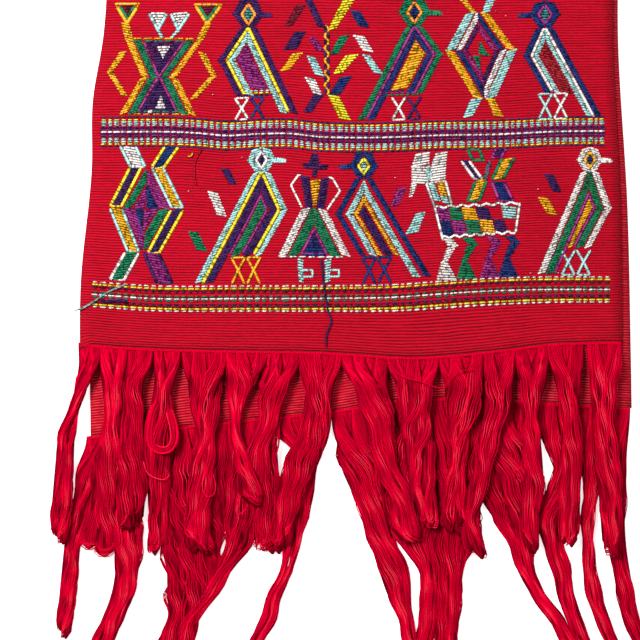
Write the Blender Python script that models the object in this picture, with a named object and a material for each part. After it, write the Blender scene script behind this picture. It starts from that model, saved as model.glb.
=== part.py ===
"""Handwoven throw, folded in two, with a looped warp fringe at both ends.

The cloth lies flat and is folded once across its length. Its upper half stops a little
short of its lower half, so both fringes lie at the same end, the upper one over the
lower one. Metres, +Z up. +X runs across the cloth and +Y along it, away from the
fringes. The origin is in the underside, midway between the folded edge and the upper hem.
"""

from math import cos, pi, radians, sin

import bmesh
import bpy
import numpy as np

MM = 0.001

# Cloth: the folded edge and the upper hem, which is the line that depths are measured from.
FOLD_Y = 0.310
HEM_Y = -0.310
SHEET = 0.0015
LAYER_GAP = 0.0012
ROLL_HEIGHT = 0.0068
ROLL_RUN = 0.055
SIDE_SLIP = 0.007

# How finely the cloth is divided across, along each layer and round the roll of the fold.
COLUMNS = 26
LOWER_ROWS = 5
UPPER_ROWS = 20
ROLL_STEPS = 7

# Each side edge of the upper half, as places along Y and across X.
LEFT_EDGE = (
    (-0.330, -0.2065),
    (-0.262, -0.2060),
    (-0.170, -0.1975),
    (-0.125, -0.1970),
    (-0.075, -0.1890),
    (0.060, -0.1875),
    (0.200, -0.1915),
    (0.320, -0.1890),
)
RIGHT_EDGE = (
    (-0.330, 0.2005),
    (-0.200, 0.1990),
    (-0.080, 0.1935),
    (0.070, 0.1965),
    (0.200, 0.1925),
    (0.320, 0.1955),
)

# How far each hem reaches past HEM_Y, as places across X and depths.
UPPER_HEM = (
    (-0.206, -0.0048),
    (-0.176, -0.0023),
    (-0.116, 0.0000),
    (-0.026, 0.0015),
    (0.049, 0.0052),
    (0.109, 0.0000),
    (0.145, -0.0045),
    (0.205, -0.0065),
)
LOWER_HEM = (
    (-0.204, 0.0660),
    (-0.135, 0.0585),
    (-0.080, 0.0525),
    (-0.010, 0.0450),
    (0.026, 0.0390),
    (0.090, 0.0365),
    (0.146, 0.0400),
    (0.212, 0.0440),
)

# Soft swells of the upper half in millimetres: middle across and along, half width across
# and along, turn in degrees, rise.
SWELLS = (
    (-4, -165, 26, 75, 8, 2.6),
    (58, -270, 24, 40, -14, 2.4),
    (-128, -120, 34, 60, 20, 1.8),
    (122, -200, 30, 62, -10, 2.4),
    (-88, -250, 42, 30, 4, 1.6),
    (-86, 55, 40, 78, -12, 2.4),
    (84, 96, 34, 90, 10, 2.6),
    (140, 10, 26, 56, -18, 1.8),
    (-20, 205, 62, 34, 6, 2.2),
)
SWELL_EASE = 0.035

# Fringe: the strip of bunched warp ends along a hem, and the locks that grow from it.
PART_GAP = 0.0005
STRIP_DEPTH = 0.0045
STRIP_RISE = 0.0003
LOCK_GAP = 0.0006
LOCK_ROOT = 0.0085
LOCK_TOP = 0.8

# Places of a lock's rings as shares of its hank's length, how much of the last stretch each
# lock stops short, and the shares over which it thickens and, if it does, drops to the ground.
LOCK_STEPS = (0.07, 0.18, 0.32, 0.47, 0.62, 0.76, 0.89, 1.0)
LOCK_UNEVEN = (0.0, 0.45, 0.15, 0.6, 0.3)
ROOT_SHARE = 0.3
DROP_FROM = 0.45
DROP_OVER = 0.3

# Hanks in millimetres. Each row gives middle and width at the root, at each level below
# HEM_Y and at the tip, then the tip's depth below HEM_Y and the height it comes down to.
UPPER_LEVELS = (34, 68, 105)
UPPER_HANKS = (
    (-198.5, 16, -211, 10.5, -216, 13, -219, 13, -221, 12, 146, 5.5),
    (-181, 18, -181, 13.5, -186, 16.5, -189, 17, -194, 18, 155, 0),
    (-162, 18, -165, 15.5, -168.5, 16.5, -170, 17, -167.5, 17.5, 135, 5.5),
    (-141, 21, -143, 15, -146.5, 18, -147.5, 14, -148, 12.5, 152, 0),
    (-114.5, 29, -113, 16.5, -109, 10.5, -115, 17.5, -117.5, 18, 154, 5.5),
    (-82.5, 28, -89.5, 11.5, -88.5, 10.5, -79.5, 18, -79, 15, 116, 5.5),
    (-55, 23, -62.5, 18.5, -64.5, 10.5, -63.5, 10, -64, 12, 152, 0),
    (-27, 30, -28.5, 21, -34, 21, -46.5, 17.5, -50, 11, 128, 5.5),
    (7, 33.5, 16.5, 22.5, 21, 18, 29, 15, 41, 15, 145, 5.5),
    (44, 35, 47, 23, 47.5, 23.5, 50.5, 20.5, 57.5, 12, 135, 5.5),
    (79, 30, 77.5, 21, 78, 13.5, 73.5, 16.5, 73.5, 13.5, 139, 5.5),
    (107.5, 24, 107, 20, 98.5, 15.5, 92.5, 15, 92.5, 16, 156, 5.5),
    (133, 24.5, 132, 19.5, 132.5, 13, 133, 15.5, 130.5, 13.5, 152, 5.5),
    (160, 25, 160, 18, 163, 15, 161, 15, 160, 15, 148, 5.5),
    (187, 25, 185, 20, 188.5, 18, 190.5, 16.5, 194, 15, 156, 5.5),
)
LOWER_LEVELS = (82, 120, 158, 195)
LOWER_HANKS = (
    (-191.5, 15.5, -202, 14, -206.5, 14, -213, 13.5, -217, 12, -220, 12, 218, 0),
    (-162.5, 39, -166, 24, -167.5, 21, -170.5, 19.5, -179, 20, -199, 15, 246, 0),
    (-118, 45.5, -117, 34.5, -121.5, 34, -122.5, 33, -131.5, 18, -148, 15, 250, 0),
    (-82, 23.5, -82.5, 19.5, -82.5, 16.5, -91, 18, -115, 11, -133, 9, 245, 0),
    (-44, 47.5, -32.5, 21.5, -37.5, 12, -47.5, 12.5, -62, 13.5, -84, 10.5, 248, 0),
    (1, 38, 5, 27.5, 11.5, 21, 27.5, 26, 36, 15, 53.5, 12, 250, 0),
    (40, 35, 38.5, 33, 41.5, 33, 58, 15.5, 54, 15, 67.5, 10.5, 255, 0),
    (78, 37, 75, 31.5, 75, 28.5, 77.5, 18, 70.5, 13.5, 81, 11, 245, 0),
    (115.5, 34, 115, 33, 118, 29, 127, 12.5, 148, 13, 177, 11, 245, 0),
    (151, 31, 157, 18.5, 145, 17, 153, 13.5, 164, 10.5, 192, 10.5, 240, 0),
    (176.5, 17, 177, 13.5, 175, 12, 178, 12, 185, 10.5, 208, 9, 241, 0),
    (196.5, 18.5, 196, 15, 196.5, 12.5, 200.5, 12, 206.5, 12, 225, 10, 236, 0),
)

# Heights of the locks, and of the level at which the upper ones cross the lower ones.
LOWER_LOCK = 0.0048
UPPER_LOCK = 0.0044
CROSSING_BASE = 0.0055
TIP_SHARE = 0.7

RED_CLOTH = (0.56, 0.006, 0.022)
RED_YARN = (0.66, 0.003, 0.024)


def through(table, at):
    """Smooth curve through a table's points, its slope at each one from the neighbours."""
    places, values = np.array(table, float).T
    slopes = np.gradient(values, places)
    i = np.clip(np.searchsorted(places, at) - 1, 0, len(places) - 2)
    span = places[i + 1] - places[i]
    t = np.clip((at - places[i]) / span, 0, 1)
    low = (1 + 2 * t) * (1 - t) ** 2 * values[i] + t * (1 - t) ** 2 * span * slopes[i]
    high = t**2 * (3 - 2 * t) * values[i + 1] - t**2 * (1 - t) * span * slopes[i + 1]
    return low + high


def eased(t):
    """0 to 1 with a soft start and end."""
    t = np.clip(t, 0, 1)
    return t * t * (3 - 2 * t)


def swell(x, y):
    """Rise of the upper half over its flat level: soft ovals that die away at hem and fold."""
    rise = 0.0
    for across, along, half_x, half_y, turn, height in SWELLS:
        dx, dy = x - across * MM, y - along * MM
        c, s = cos(radians(turn)), sin(radians(turn))
        a = (dx * c + dy * s) / (half_x * MM)
        b = (dy * c - dx * s) / (half_y * MM)
        rise = rise + height * MM * np.exp(-(a * a + b * b))
    return rise * eased((y - HEM_Y) / SWELL_EASE) * eased((FOLD_Y - y) / SWELL_EASE)


def side_edges(y, slip):
    """X of the two side edges at y; slip moves the lower half sideways under the upper."""
    move = slip * (FOLD_Y - y) / (FOLD_Y - HEM_Y)
    return through(LEFT_EDGE, y) + move, through(RIGHT_EDGE, y) + move


def hem_points(table, slip):
    """The polyline of a hem, a point for each column of the cloth."""
    left, right = side_edges(HEM_Y, slip)
    x = np.linspace(left, right, COLUMNS + 1)
    y = HEM_Y - through(table, x)
    left, right = side_edges(y, slip)
    share = np.linspace(0, 1, COLUMNS + 1)
    return left + (right - left) * share, y


def cloth_rows():
    """Rows of points over the outside of the folded cloth, from the lower hem round the
    fold to the upper hem: underside flat, a half round roll, then the swelling upper face."""
    share = np.linspace(0, 1, COLUMNS + 1)
    roll = ROLL_HEIGHT / 2
    turn_y = FOLD_Y - roll + 0.0012 * np.sin(share * 2.3 * pi)
    rows = []
    lower_y = hem_points(LOWER_HEM, SIDE_SLIP)[1]
    for t in np.linspace(0, 1, LOWER_ROWS + 1):
        y = lower_y + (turn_y - lower_y) * t
        left, right = side_edges(y, SIDE_SLIP)
        rows.append((left + (right - left) * share, y, np.zeros_like(y)))
    for angle in np.linspace(0, pi, ROLL_STEPS + 1)[1:-1]:
        y = turn_y + roll * sin(angle)
        left, right = side_edges(y, 0.0)
        rows.append((left + (right - left) * share, y, np.full_like(y, roll - roll * cos(angle))))
    upper_y = hem_points(UPPER_HEM, 0.0)[1]
    for t in np.linspace(0, 1, UPPER_ROWS + 1):
        y = turn_y + (upper_y - turn_y) * t
        left, right = side_edges(y, 0.0)
        x = left + (right - left) * share
        flat = 2 * SHEET + LAYER_GAP
        roll_down = (ROLL_HEIGHT - flat) * (1 - eased((turn_y - y) / ROLL_RUN))
        rows.append((x, y, flat + roll_down + swell(x, y)))
    return [np.stack(row, axis=1) for row in rows]


def material(name, colour, roughness):
    made = bpy.data.materials.new(name)
    made.use_nodes = True
    shader = made.node_tree.nodes["Principled BSDF"]
    shader.inputs["Base Color"].default_value = (*colour, 1)
    shader.inputs["Roughness"].default_value = roughness
    shader.inputs["Sheen Weight"].default_value = 0.3
    made.diffuse_color = (*colour, 1)
    return made


def finished(name, bm, finish):
    """Object from a bmesh, with outward faces, one material and soft shading."""
    bmesh.ops.recalc_face_normals(bm, faces=bm.faces)
    mesh = bpy.data.meshes.new(name)
    bm.to_mesh(mesh)
    bm.free()
    mesh.shade_smooth()
    mesh.set_sharp_from_angle(angle=radians(40))
    mesh.materials.append(finish)
    made = bpy.data.objects.new(name, mesh)
    bpy.context.scene.collection.objects.link(made)
    return made


def throw_cloth(finish):
    """The woven cloth: its outer face as a grid, thickened inwards to one sheet."""
    bm = bmesh.new()
    grid = [[bm.verts.new(point) for point in row] for row in cloth_rows()]
    for near, far in zip(grid, grid[1:]):
        for i in range(COLUMNS):
            bm.faces.new((near[i], far[i], far[i + 1], near[i + 1]))
    mesh = bpy.data.meshes.new("throw_cloth")
    bm.to_mesh(mesh)
    bm.free()
    mesh.shade_smooth()
    mesh.materials.append(finish)
    made = bpy.data.objects.new("throw_cloth", mesh)
    bpy.context.scene.collection.objects.link(made)
    thick = made.modifiers.new("sheet", "SOLIDIFY")
    thick.thickness = SHEET
    thick.offset = -1
    thick.use_even_offset = True
    return made


def hank_sides(row, levels, at):
    """Left and right edge of a hank at each depth below HEM_Y, read from its table row."""
    middles, widths = row[0:-2:2], row[1:-2:2]
    depths = (row[-2] * 0.02, *levels, row[-2])
    known = [d for d in depths if d <= row[-2]]
    middle = through(list(zip(known, (*middles[: len(known) - 1], middles[-1]))), at)
    width = through(list(zip(known, (*widths[: len(known) - 1], widths[-1]))), at)
    return (middle - width / 2) * MM, (middle + width / 2) * MM


def lock_rings(row, levels, part, parts, hank_y, root, heights):
    """Corner rings of one lock, carried from its root on the strip down to its tip.

    All locks of a hank share the same levels, each in its own share of the hank's width,
    and stop a little short of each other. Each ring is a trapezoid on a level base.
    heights is the base where the hank lies and the lock's own height.
    """
    run_base, tall = heights
    fall = np.array(LOCK_STEPS)
    y = hank_y + (HEM_Y - row[-2] * MM - hank_y) * fall
    left, right = hank_sides(row, levels, (HEM_Y - y) / MM)
    share = (right - left) / parts
    middle = left + share * (part + 0.5)
    half = (share - LOCK_GAP) / 2
    root_base, root_tall = root[0][2], root[3][2] - root[0][2]
    settle = eased(fall / ROOT_SHARE)
    base = root_base + (run_base - root_base) * settle
    base = base + (row[-1] * MM - run_base) * eased((fall - DROP_FROM) / DROP_OVER)
    height = root_tall + (tall - root_tall) * settle
    rings = np.stack([y, middle, half, base, height], axis=1)
    rings[-1] += (rings[-2] - rings[-1]) * LOCK_UNEVEN[part % len(LOCK_UNEVEN)]
    rings[-1, 2] *= TIP_SHARE
    rings[-1, 4] *= TIP_SHARE
    return [
        (
            (mx - mh, my, mb),
            (mx + mh, my, mb),
            (mx + mh * LOCK_TOP, my, mb + mt),
            (mx - mh * LOCK_TOP, my, mb + mt),
        )
        for my, mx, mh, mb, mt in rings
    ]


def fringe(name, hanks, levels, hem, strip_base, run_base, tall, finish):
    """One fringe: a strip along the hem, with every lock drawn out of its front face."""
    hem_x, hem_y = hem
    bm = bmesh.new()
    places, locks = [], []
    for row in hanks:
        parts = max(2, round(row[1] * MM / LOCK_ROOT))
        edge = (row[0] - row[1] / 2) * MM
        step = row[1] * MM / parts
        for part in range(parts):
            locks.append((len(places), row, part, parts))
            places.append(edge + step * part + LOCK_GAP / 2)
            places.append(edge + step * (part + 1) - LOCK_GAP / 2)
    places = np.array([hem_x[0], *places, hem_x[-1]])
    back = np.interp(places, hem_x, hem_y) - PART_GAP
    top = strip_base + SHEET + STRIP_RISE
    columns = [
        [bm.verts.new(corner) for corner in (
            (x, y, strip_base),
            (x, y, top),
            (x, y - STRIP_DEPTH, top),
            (x, y - STRIP_DEPTH, strip_base),
        )]
        for x, y in zip(places, back)
    ]
    fronts = []
    for near, far in zip(columns, columns[1:]):
        bm.faces.new((near[0], near[1], far[1], far[0]))
        bm.faces.new((near[1], near[2], far[2], far[1]))
        bm.faces.new((near[0], far[0], far[3], near[3]))
        fronts.append(bm.faces.new((near[3], far[3], far[2], near[2])))
    bm.faces.new(columns[0])
    bm.faces.new(columns[-1][::-1])
    for first, row, part, parts in locks:
        tip = fronts[first + 1]
        root = [corner.co.copy() for corner in tip.verts]
        hank_y = np.interp(row[0] * MM, hem_x, hem_y) - PART_GAP - STRIP_DEPTH
        for ring in lock_rings(row, levels, part, parts, hank_y, root, (run_base, tall)):
            tip = bmesh.ops.extrude_discrete_faces(bm, faces=[tip])["faces"][0]
            for corner, place in zip(tip.verts, ring):
                corner.co = place
    return finished(name, bm, finish)


def main():
    for old in list(bpy.data.objects):
        bpy.data.objects.remove(old)
    woven = material("ribbed_red_cotton", RED_CLOTH, 0.85)
    looped = material("soft_red_cotton_yarn", RED_YARN, 0.7)
    throw_cloth(woven)
    upper_hem = hem_points(UPPER_HEM, 0.0)
    lower_hem = hem_points(LOWER_HEM, SIDE_SLIP)
    upper_base = SHEET + LAYER_GAP
    fringe("upper_fringe", UPPER_HANKS, UPPER_LEVELS, upper_hem, upper_base, CROSSING_BASE,
           UPPER_LOCK, looped)
    fringe("lower_fringe", LOWER_HANKS, LOWER_LEVELS, lower_hem, 0.0, 0.0, LOWER_LOCK, looped)


main()
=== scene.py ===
"""Handwoven cotton throw lying folded in two.

The cloth is warp-faced and ribbed, with border bands and figures laid in as extra weft, and
a long looped fringe at both ends. Metres, +Z up, +X across, +Y towards the folded edge.
"""

from math import cos, pi, radians, sin

import bpy
import numpy as np
from bpy.props import FloatProperty, FloatVectorProperty, IntProperty, PointerProperty
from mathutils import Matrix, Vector


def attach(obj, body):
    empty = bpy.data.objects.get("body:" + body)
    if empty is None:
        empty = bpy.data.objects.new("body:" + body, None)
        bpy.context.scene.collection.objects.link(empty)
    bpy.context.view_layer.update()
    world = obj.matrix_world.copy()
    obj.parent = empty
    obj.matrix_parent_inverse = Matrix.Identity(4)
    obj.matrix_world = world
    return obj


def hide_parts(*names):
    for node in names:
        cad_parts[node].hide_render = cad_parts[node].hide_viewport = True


bl_info = {
    "name": "Handwoven Throw",
    "version": (1, 0, 0),
    "blender": (4, 5, 0),
    "location": "3D View > Sidebar > Throw",
    "description": "Ribbed cloth, brocaded bands and figures, and looped fringe of a folded throw",
    "category": "Add Mesh",
}

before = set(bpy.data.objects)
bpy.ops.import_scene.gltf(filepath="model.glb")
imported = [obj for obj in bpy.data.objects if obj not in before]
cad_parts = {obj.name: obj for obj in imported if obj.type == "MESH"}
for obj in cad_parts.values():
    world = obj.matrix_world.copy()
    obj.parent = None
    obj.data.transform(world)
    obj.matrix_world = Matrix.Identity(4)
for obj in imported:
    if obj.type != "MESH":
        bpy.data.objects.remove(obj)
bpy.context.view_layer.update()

# The folded edge, the upper hem's line, the sheet, and the roll of the fold.
FOLD_Y, HEM_Y = 0.310, -0.310
SHEET, LAYER_GAP = 0.0015, 0.0012
ROLL_HEIGHT, ROLL_RUN, SIDE_SLIP = 0.0068, 0.055, 0.007

# Spacing of the ribs and of the brocade rows, and of the warp ends that figures are counted on.
RIB, STEP = 0.0020, 0.00075

# Distance along the unfolded cloth from the upper hem: the roll of the fold, the part that
# lies covered, and the lower hem.
FOLD_AT, COVERED_FROM, LOWER_HEM_AT = 0.63, 0.64, 1.30

# Side edges of the upper half: places along Y, places across X.
LEFT_EDGE = ((-0.330, -0.2065), (-0.262, -0.2060), (-0.170, -0.1975), (-0.125, -0.1970),
             (-0.075, -0.1890), (0.060, -0.1875), (0.200, -0.1915), (0.320, -0.1890))
RIGHT_EDGE = ((-0.330, 0.2005), (-0.200, 0.1990), (-0.080, 0.1935), (0.070, 0.1965),
              (0.200, 0.1925), (0.320, 0.1955))

# Hems: places across X, depth past HEM_Y.
UPPER_HEM = ((-0.206, -0.0048), (-0.176, -0.0023), (-0.116, 0.0000), (-0.026, 0.0015),
             (0.049, 0.0052), (0.109, 0.0000), (0.145, -0.0045), (0.205, -0.0065))
LOWER_HEM = ((-0.204, 0.0660), (-0.135, 0.0585), (-0.080, 0.0525), (-0.010, 0.0450),
             (0.026, 0.0390), (0.090, 0.0365), (0.146, 0.0400), (0.212, 0.0440))

# How the weft lines stray at two heights of the upper half: places across X, rise.
STRAY_LOW = ((-0.200, 0.0030), (-0.154, -0.0003), (-0.080, -0.0005), (-0.020, -0.0003),
             (0.034, 0.0008), (0.064, 0.0030), (0.094, 0.0049), (0.124, 0.0060), (0.200, 0.0064))
STRAY_HIGH = ((-0.200, 0.0019), (-0.116, 0.0007), (-0.098, -0.0009), (-0.071, 0.0004),
              (-0.049, 0.0006), (-0.026, -0.0019), (-0.004, -0.0026), (0.034, -0.0019),
              (0.056, -0.0009), (0.109, 0.0001), (0.154, 0.0022), (0.200, 0.0026))
STRAY_AT = (-0.310, -0.2703, -0.1476, -0.020)

# The upper hem's left corner hangs lower: its place across, half width, drop, and the height
# above the hem at which that is gone.
CORNER = (-0.2065, 0.0045, 0.005, 0.014)

# Soft swells in millimetres: middle across and along, half widths, turn in degrees, rise. They
# fade out within this many metres of the hem and the fold.
SWELL_FADE = 0.035
SWELLS = (
    (-4, -165, 26, 75, 8, 2.6), (58, -270, 24, 40, -14, 2.4), (-128, -120, 34, 60, 20, 1.8),
    (122, -200, 30, 62, -10, 2.4), (-88, -250, 42, 30, 4, 1.6), (-86, 55, 40, 78, -12, 2.4),
    (84, 96, 34, 90, 10, 2.6), (140, 10, 26, 56, -18, 1.8), (-20, 205, 62, 34, 6, 2.2),
)

# Weft lines at which a border band has its middle row, and the foot lines of the figures.
BAND_LINES = ((1, -0.1483), (2, -0.2710), (2, -0.0235), (1, 0.1010), (2, 0.2245))
FOOT_OVER_BAND = 0.0105
FEET = (-0.1369, -0.2606)

# Shortest and longest float in metres, the widest band in steps that is a laid-in thread, and
# the lift of what is woven over other floats.
SHORTEST, LONGEST, THREAD_BAND, OVER_FLOATS = 0.0008, 0.0125, 3.6, 0.0005

# Hanks in millimetres: middle and width at each level below HEM_Y, the first of them at the
# root, and at the tip, then the tip's depth. A hank gathers within this share of its fall.
GATHERED = 0.2
UPPER_LEVELS = (7.5, 25, 45, 65, 85, 105, 125)
UPPER_HANKS = (
    (-199, 16, -204, 14, -211, 10.5, -216, 13, -217.5, 13, -219, 13, -220.5, 13, -221, 12, 146),
    (-181, 20, -181.5, 16.5, -181.5, 13.5, -183, 15, -186, 22.5, -187, 23, -189, 25, -194, 29, 156),
    (-161.5, 19, -166, 17, -167, 16.5, -168, 18, -167.5, 19, -167.5, 20, -168, 19.5, -168, 18, 135),
    (-141, 19.5, -142.5, 16.5, -145, 18, -147, 21, -147, 18, -148, 16.5, -147.5, 15, -147, 16, 155),
    (-113, 33, -113, 28.5, -113, 19.5, -111, 12, -113, 16.5, -116, 18, -118, 18, -117, 21, 154),
    (-81.5, 30, -86, 19.5, -89, 9, -89, 8, -82.5, 13.5, -78, 21, -77, 20, -78, 18, 117),
    (-55.5, 28, -60, 26.5, -63, 18, -67.5, 20, -69, 24, -68, 24, -66, 24, -63, 22, 154),
    (-26.5, 32, -27, 23.5, -28.5, 21, -33, 22.5, -40, 25.5, -49, 21, -54, 16, -54, 14, 148),
    (7, 34, 11.6, 25, 15.8, 22.5, 19, 20, 23, 16.5, 32, 16, 37, 18, 40, 22, 145),
    (43.5, 38, 44.6, 31, 46.5, 26.5, 47, 24, 49, 19.5, 51, 16.5, 55.5, 13.5, 57, 12, 135),
    (79.5, 33, 81, 31, 80, 27.5, 78, 16, 77, 12, 75, 16.5, 74, 18, 73.5, 15, 139),
    (108, 24.5, 107.5, 23, 106, 22.5, 99, 18, 96, 13.5, 91.5, 15, 86, 12, 93, 18, 157),
    (133, 25.5, 133, 22, 130, 13.5, 132, 13, 133.5, 13.5, 134, 15, 131, 13.5, 132, 11, 153),
    (158, 25.5, 158, 21, 160, 15, 161, 15, 162, 15, 161, 15, 160.5, 15, 160, 15, 148),
    (187, 25.5, 185, 22.5, 184.5, 19.5, 187, 18, 188, 18, 190.5, 16.5, 192, 16, 194, 15, 156),
)
LOWER_LEVELS = (56, 71, 90, 109, 127.5, 146, 165, 184, 202.5, 221)
LOWER_HANKS = (
    (-192, 18, -198, 22, -202, 20, -205, 17, -208, 14, -212, 12, -214, 11.5, -216, 11, -218, 11,
     -219.5, 11, 217.5),
    (-163, 37.5, -163, 36, -165, 29, -168, 25, -171, 23, -171, 21, -171.4, 17.3, -174.2, 17,
     -182.2, 15, -190, 15.5, -202, 14, 246),
    (-118.5, 45, -118.5, 45, -120, 45, -121, 48, -123, 51, -123.5, 42, -122.3, 36, -124.5, 33,
     -129.8, 22.5, -135.4, 27.8, -142, 24, 250),
    (-83.5, 26, -84, 27, -85, 27, -85.5, 26, -86, 25, -86.6, 20.5, -98.6, 13, -110, 13,
     -123.4, 11.5, -129, 10.5, -138, 10, 244.5),
    (-41, 45, -31.5, 20, -39.5, 23, -43, 24, -46, 20, -47.8, 13.5, -51, 8.5, -60.8, 10.5,
     -65.6, 11.3, -75, 9.5, -88, 9, 247.5),
    (1.8, 37.5, 2.2, 37, 6.3, 31, 11, 23.5, 15.5, 19, 21, 18.5, 28.1, 22, 31.7, 17, 38, 12.5,
     41.5, 11, 50, 10, 250),
    (40.5, 39, 42, 40, 42, 39, 41.5, 39, 42.5, 37, 47, 26, 55, 12.5, 55, 12, 54, 13,
     52, 13, 60, 12, 255),
    (77, 38.5, 76, 39, 75, 38, 74.5, 38, 75, 38, 74, 30, 72, 20, 70.5, 18, 69, 17, 69, 16.5,
     78, 12, 245),
    (113.5, 38, 114.5, 41.5, 117.5, 46, 117.5, 44, 119.5, 28, 125, 18, 128.6, 13, 138, 11,
     151.5, 11, 161, 10.5, 182, 11, 245),
    (151, 30, 153, 24, 157.5, 18, 151, 22, 146, 21, 149, 15, 155, 13, 158.5, 12, 165, 12,
     173, 10.5, 196, 10.5, 240),
    (176, 18, 176, 17, 176.5, 16.5, 177, 14, 175, 13.5, 175, 12, 176, 12, 180, 12, 186, 12,
     194, 11, 212, 10.5, 241),
    (196.5, 19, 196.5, 18, 196.5, 16.5, 196, 15, 196, 13.5, 197, 13, 200, 12, 203.5, 12,
     208, 12, 215, 11, 225, 10.5, 236),
)

# Loose ends on the cloth, in millimetres: yarn, half thickness, strands, half width of the
# bunch, then places along it. Then the places of white bits of lint.
TAILS = (
    ("navy", 0.65, 1, 0, (-25.5, -241.8), (-22.5, -267.3), (-19.7, -282.3), (-18, -286.8),
     (-21.5, -298.8), (-21.8, -307.8)),
    ("aqua", 0.5, 3, 0.5, (-171.8, -260.5), (-180, -263.9), (-187.1, -267.3), (-194.3, -272.5),
     (-199.1, -275.5), (-206.3, -279.3), (-210, -280.5)),
    ("lemon", 0.5, 1, 0, (-125.4, -164.7), (-123, -165), (-121.5, -162.1)),
    ("fringe", 0.42, 1, 0, (-113.3, -157.8), (-117, -162.3), (-120, -169), (-120.4, -178.8),
     (-119.3, -186.3)),
    ("purple", 0.5, 4, 1.1, (-191, -272.3), (-184, -274), (-177, -272.8), (-170.3, -274.6)),
    ("magenta", 0.45, 3, 1.0, (-188, -273.6), (-180, -273), (-172, -273.8)),
    ("white", 1.0, 3, 0.7, (-155, -132.1), (-153.3, -131.6), (-151.6, -132.3)),
)
LINT = ((105.4, -56), (113, -59.6), (-106.5, -118.8), (-84.8, -165.9), (-124.8, -191), (-9, -196.4),
        (30, -181), (137, -189.7), (131.5, -252.5), (152.3, -252.3), (47.6, -150.2))

# Loops of warp yarn that stand off the hanks: half width of the bunch, strands, then places
# across, along and up.
LOOSE_LOOPS = (
    (3.0, 34, (-145.5, -340, 3.5), (-150, -351, 9), (-152.8, -364, 11), (-153.6, -375, 11),
     (-152, -382, 11.3), (-145.5, -385.6, 11.5), (-138.4, -383.6, 11.5), (-135.4, -377, 11.2),
     (-135.8, -367, 11), (-138.5, -357, 9.5), (-142.5, -347, 5), (-143.5, -340, 3)),
    (0.0, 1, (-158.3, -393.3, 9), (-156, -400.8, 10.5), (-150, -405.3, 10.8), (-141, -406, 10),
     (-138.8, -403, 9)),
    (0.0, 1, (-109.5, -394, 9), (-112.5, -403.8, 10.8), (-114, -413.5, 11), (-110.3, -419.9, 11),
     (-105.8, -418, 11), (-104.6, -409, 11), (-107.3, -400, 9)),
    (0.4, 2, (-86.3, -421, 9), (-89.3, -428.5, 11), (-87.8, -433, 11), (-82.5, -430, 11), (-80.3, -425.5, 9)),
    (0.0, 1, (24.8, -319, 8), (35.3, -329.5, 13), (48.8, -333.3, 13.5), (64.5, -337.8, 13.5),
     (76.5, -325.8, 13), (88.5, -325, 10)),
)


def linear(code):
    """A colour written as sRGB hex, in linear light."""
    srgb = np.array([int(code[i : i + 2], 16) for i in (0, 2, 4)]) / 255
    return tuple(np.where(srgb <= 0.04045, srgb / 12.92, ((srgb + 0.055) / 1.055) ** 2.4).tolist())


def dye(name, code, where):
    """A colour property from its name, its sRGB hex and the words on where it shows."""
    return FloatVectorProperty(name=name, description=where, subtype="COLOR", size=3, min=0, max=1,
                               default=linear(code))


def length(name, where, size, low, high):
    """A length property in metres."""
    return FloatProperty(name=name, description=where, default=size, unit="LENGTH", min=low, max=high)


class ThrowYarns(bpy.types.PropertyGroup):
    """Dyes of the warp, the fringe and the brocade yarns."""

    ground: dye("Red warp of the cloth", "BF0A25", "Warp that covers both faces of the cloth")
    fringe: dye("Crimson warp loops", "DE0030", "Unwoven warp in both fringes and their headings")
    golden: dye("Golden yarn", "E09E0C", "Brocade weft of wings, legs and border rows")
    lemon: dye("Lemon yarn", "DCC824", "Brocade weft of thin outlines and border rows")
    aqua: dye("Aqua yarn", "9BC8C5", "Brocade weft of outlines and border rows")
    green: dye("Green yarn", "12704A", "Brocade weft of bodies and leaves")
    navy: dye("Navy yarn", "1A2C66", "Brocade weft of outlines and border lines")
    purple: dye("Purple yarn", "381B54", "Brocade weft of bodies and border stripes")
    magenta: dye("Magenta yarn", "8A2870", "Brocade weft of thin lines and fillings")
    white: dye("Off-white yarn", "DCD2CE", "Undyed brocade weft")
    maroon: dye("Maroon yarn", "6C1028", "Brocade weft of dark leaves and border rows")
    brick: dye("Brick red yarn", "961A28", "Brocade weft that fills one bird")
    teal: dye("Teal yarn", "3E817E", "Brocade weft of two birds' eyes")
    orange: dye("Orange yarn", "F08A24", "Brocade weft of rings round the eyes")


class ThrowWeave(bpy.types.PropertyGroup):
    """Sizes of the weave and the brocade."""

    float_width: length("Width of a float", "Thickness of a weft float along the cloth",
                        0.00204, 0.0005, 0.004)
    float_height: length("Height of a float", "How far a float stands off the ribs",
                         0.00092, 0.0002, 0.002)
    rib_depth: length("Depth between ribs", "Depth of the groove between two ribs", 0.0007, 0, 0.002)
    columns: IntProperty(name="Columns of the cloth", description="Mesh columns across the cloth",
                         default=48, min=10, max=120)
    rows: IntProperty(name="Rows of each half", description="Mesh rows from hem to fold",
                      default=150, min=20, max=400)


class ThrowFringe(bpy.types.PropertyGroup):
    """Sizes of the fringe yarn and its hanks."""

    yarn: length("Thickness of a yarn", "Thickness of one plied warp yarn", 0.00095, 0.0004, 0.003)
    bunch: length("Hem width of one bunch", "Width of hem that one bunch takes", 0.0078, 0.003, 0.03)
    loops: IntProperty(name="Loops in a bunch", description="Loops of yarn in each bunch",
                       default=12, min=4, max=30)
    stations: IntProperty(name="Points along a loop", description="Points from hem to turned end",
                          default=60, min=16, max=160)
    wave: length("Waviness of a yarn", "How far a yarn waves off its path", 0.0004, 0, 0.004)


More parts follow.
